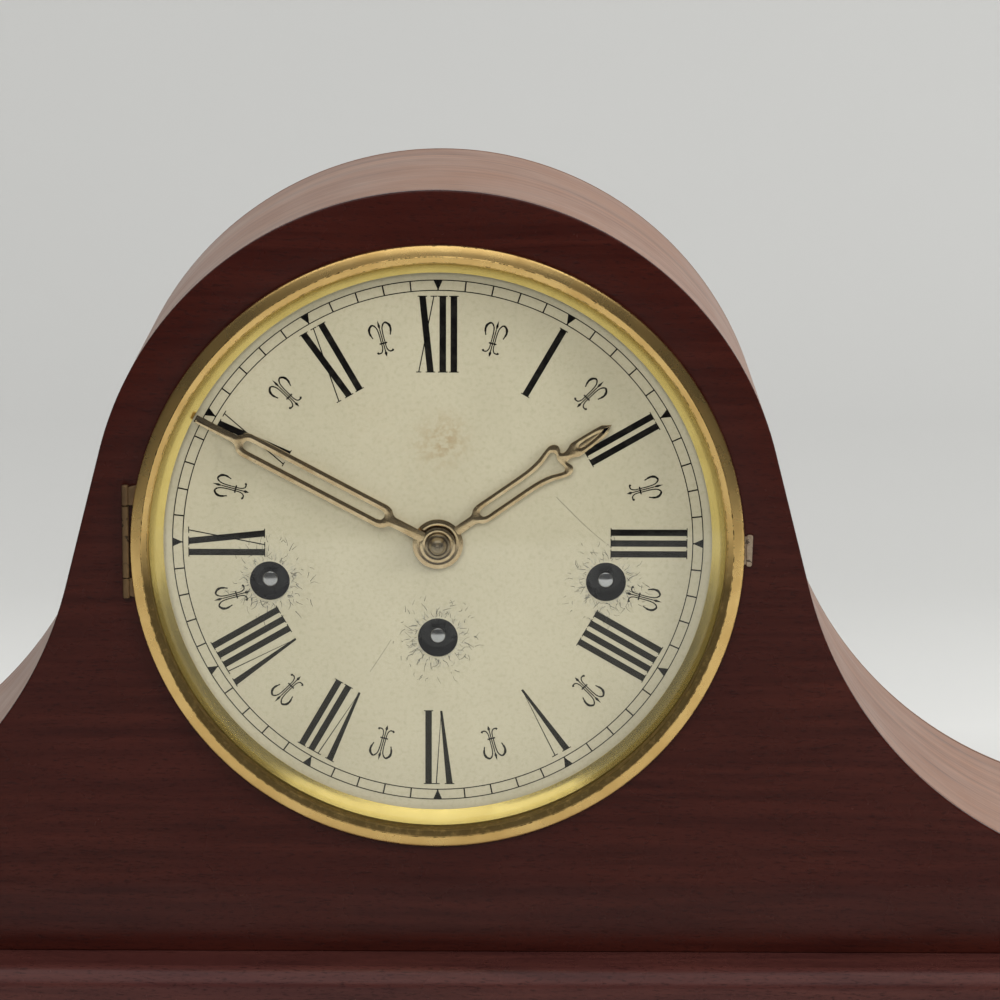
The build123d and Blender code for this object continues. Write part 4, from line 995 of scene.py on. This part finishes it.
# A hub: one sharp ring raised between its bore and rim
def hubMesh(s):
    front, back, crest = s["front"], s["back"], s["hubCrest"]
    low = front + s["hubLow"]
    section = [(s["bore"], back), (s["hub"], back), (s["hub"], low), (crest + 0.1, front),
               (crest - 0.1, front), (2 * crest - s["hub"], low), (s["bore"], low)]
    return turned(section, turnSteps["hub"])


def handMesh(s, loops):
    loops = [[turnedPoint(p, s["lean"]) for p in loop] for loop in loops]
    meshes = [roofMesh(loops, s["front"], s["back"], s["slope"], s["wall"]), hubMesh(s)]
    meshes += [flatMesh([leaf], s["leafFloor"], s["back"], 0.02) for leaf in loops[2:]]
    return joined(meshes)


# The domed end of a winding square, seen in its dial hole
def domeMesh(hole):
    s = domeShape
    radius, centre = s["radius"], s["apex"] + s["radius"]
    turns = [radians(a) for a in range(s["spread"] + 1)]
    section = [(radius * sin(a), centre - radius * cos(a)) for a in turns]
    section += [(s["collar"], s["neck"]), (s["collar"], s["foot"]), (0.0, s["foot"])]
    return turned(section, turnSteps["tip"], hole)


finishPiece("minuteHand", handMesh(minuteHand, minuteLoops()), "minute", "hand_gilt",
            ["minute_hand"], sharp=20.0)
finishPiece("hourHand", handMesh(hourHand, hourLoops()), "hour", "hand_gilt", ["hour_hand"],
            sharp=20.0)
finishPiece("handNut", turned(nutSection, turnSteps["hub"]), "minute", "nut_metal", ["hand_nut"])
finishPiece("arborTip", turned(pinSection, turnSteps["tip"]), "minute", "nut_metal")
domeLook = metalMaterial("polishedSteel", polishedSteel)
for train in ("time", "strike", "chime"):
    finishPiece(train + "ArborEnd", domeMesh(windingHoles[train]), train + "_arbor",
                "blued_steel", material=domeLook)
print("hands made")

# Front, near and far: where the floor's tone for the camera changes, and the tone there; the near
# tone is painted light over the clock's shadow behind it, the far tone painted shade on the curve
stageLook = {"floor": (0.50, 0.50, 0.485), "floorFront": -1.8, "wallY": 0.9, "height": 2.2,
             "half": 2.4, "bend": 0.45, "rough": 0.85, "glossEnd": -0.67,
             "glossDark": (0.03, 0.03, 0.03), "front": (0.05, 1.0), "near": (0.25, 1.34),
             "far": (0.62, 0.915)}
# Place, aim, size, watts and whether reflections show it
lamps = {
    "keyLamp": ((-0.35, -2.4, 1.35), (0.0, 0.0, 0.13), (2.0, 1.3), 43.0, False),
    "softBox": ((0.0, -1.3, 2.6), (0.0, -1.3, 0.0), (4.0, 3.8), 50.0, True),
    "frontGlow": ((0.0, -3.3, 2.0), (0.0, -0.05, 0.2), (1.7, 1.3), 6.5, True),
    "topLamp": ((0.1, -0.2, 2.1), (0.0, 0.0, 0.1), (1.6, 1.2), 9.0, False),
    "fillLamp": ((1.7, -0.8, 0.9), (0.0, 0.0, 0.12), (0.9, 0.9), 28.0, False),
}
view = {"at": (0.01552, -1.07226, 0.34209), "pitch": -11.42, "yaw": 0.03, "roll": -0.21,
        "lens": 149.8, "sensor": 36.0}
air = (0.06, 0.06, 0.063)


# Pale paper, clear from behind; reflections see it end in front of the clock, as a table does
def paperMaterial(name, look):
    material, tree, shader = startMaterial(name)
    source = objectPoint(tree)
    mottle = noise(tree, source, 3.0, 4.0)
    shade = [c * 0.985 for c in look["floor"]]
    soft = mixColour(tree, ramp(tree, mottle, 0.3, 0.7), shade, look["floor"])
    along = axesOf(tree, source)[1]
    beyond = ramp(tree, along, look["glossEnd"] - 0.03, look["glossEnd"] + 0.03, 1.0, 0.0)
    path = node(tree, "ShaderNodeLightPath").outputs
    dark = times(tree, beyond, path["Is Glossy Ray"])
    soft = mixColour(tree, dark, soft, look["glossDark"])
    # Painted light and shade for the camera: the floor brightened just behind the clock, where its
    # shadow falls, and dimmed up the curve
    (frontY, frontTone), (nearY, nearTone), (farY, farTone) = (look[k] for k in
                                                               ("front", "near", "far"))
    rising = ramp(tree, along, frontY, nearY, frontTone, nearTone)
    falling = ramp(tree, along, nearY, farY, nearTone, farTone)
    seen = maths(tree, "MINIMUM", rising, falling)
    paintedLightTone = ramp(tree, path["Is Camera Ray"], 0.0, 1.0, 1.0, seen)
    join(tree, mixColour(tree, 1.0, soft, paintedLightTone, "MULTIPLY"), shader, "Base Color")
    shader.inputs["Roughness"].default_value = look["rough"]
    back = node(tree, "ShaderNodeNewGeometry").outputs["Backfacing"]
    clear = node(tree, "ShaderNodeBsdfTransparent").outputs[0]
    endMixed(tree, times(tree, back, path["Is Camera Ray"]), shader.outputs[0], clear)
    return material


# Floor and backdrop: one pale sheet that curves up behind the clock
def sweepMesh():
    s = stageLook
    bend, turnY = s["bend"], s["wallY"] - s["bend"]
    run = [(s["floorFront"], 0.0), (turnY, 0.0)]
    for a in range(5, 91, 5):
        run.append((turnY + bend * sin(radians(a)), bend * (1 - cos(radians(a)))))
    run.append((s["wallY"], s["height"]))
    points = [(x, y, z) for y, z in run for x in (-s["half"], s["half"])]
    faces = [(2 * k, 2 * k + 1, 2 * k + 3, 2 * k + 2) for k in range(len(run) - 1)]
    return meshFrom(points, faces)


sweep = addObject("floor", sweepMesh())
sweep.data.materials.append(paperMaterial("floorPaper", stageLook))
sweep.data.shade_smooth()
for name, (at, aim, size, watts, mirrors) in lamps.items():
    lamp = bpy.data.lights.new(name, "AREA")
    lamp.shape = "RECTANGLE"
    lamp.size, lamp.size_y = size
    lamp.energy = watts
    holder = addObject(name, lamp)
    holder.location = at
    holder.rotation_euler = (Vector(aim) - Vector(at)).to_track_quat("-Z", "Y").to_euler()
    holder.visible_glossy = mirrors
world = bpy.data.worlds.new("air")
world.use_nodes = True
seen = node(world.node_tree, "ShaderNodeLightPath").outputs["Is Camera Ray"]
sky = mixColour(world.node_tree, seen, air, stageLook["floor"])
join(world.node_tree, sky, world.node_tree.nodes["Background"], 0)
bpy.context.scene.world = world
lens = bpy.data.cameras.new("camera")
lens.lens, lens.sensor_width = view["lens"], view["sensor"]
camera = addObject("camera", lens)
camera.location = view["at"]
turns = (90 + view["pitch"], view["roll"], view["yaw"])
camera.rotation_euler = Euler([radians(a) for a in turns], "XYZ")
bpy.context.scene.camera = camera
bpy.context.scene.view_settings.view_transform = "Standard"
print("stage made")
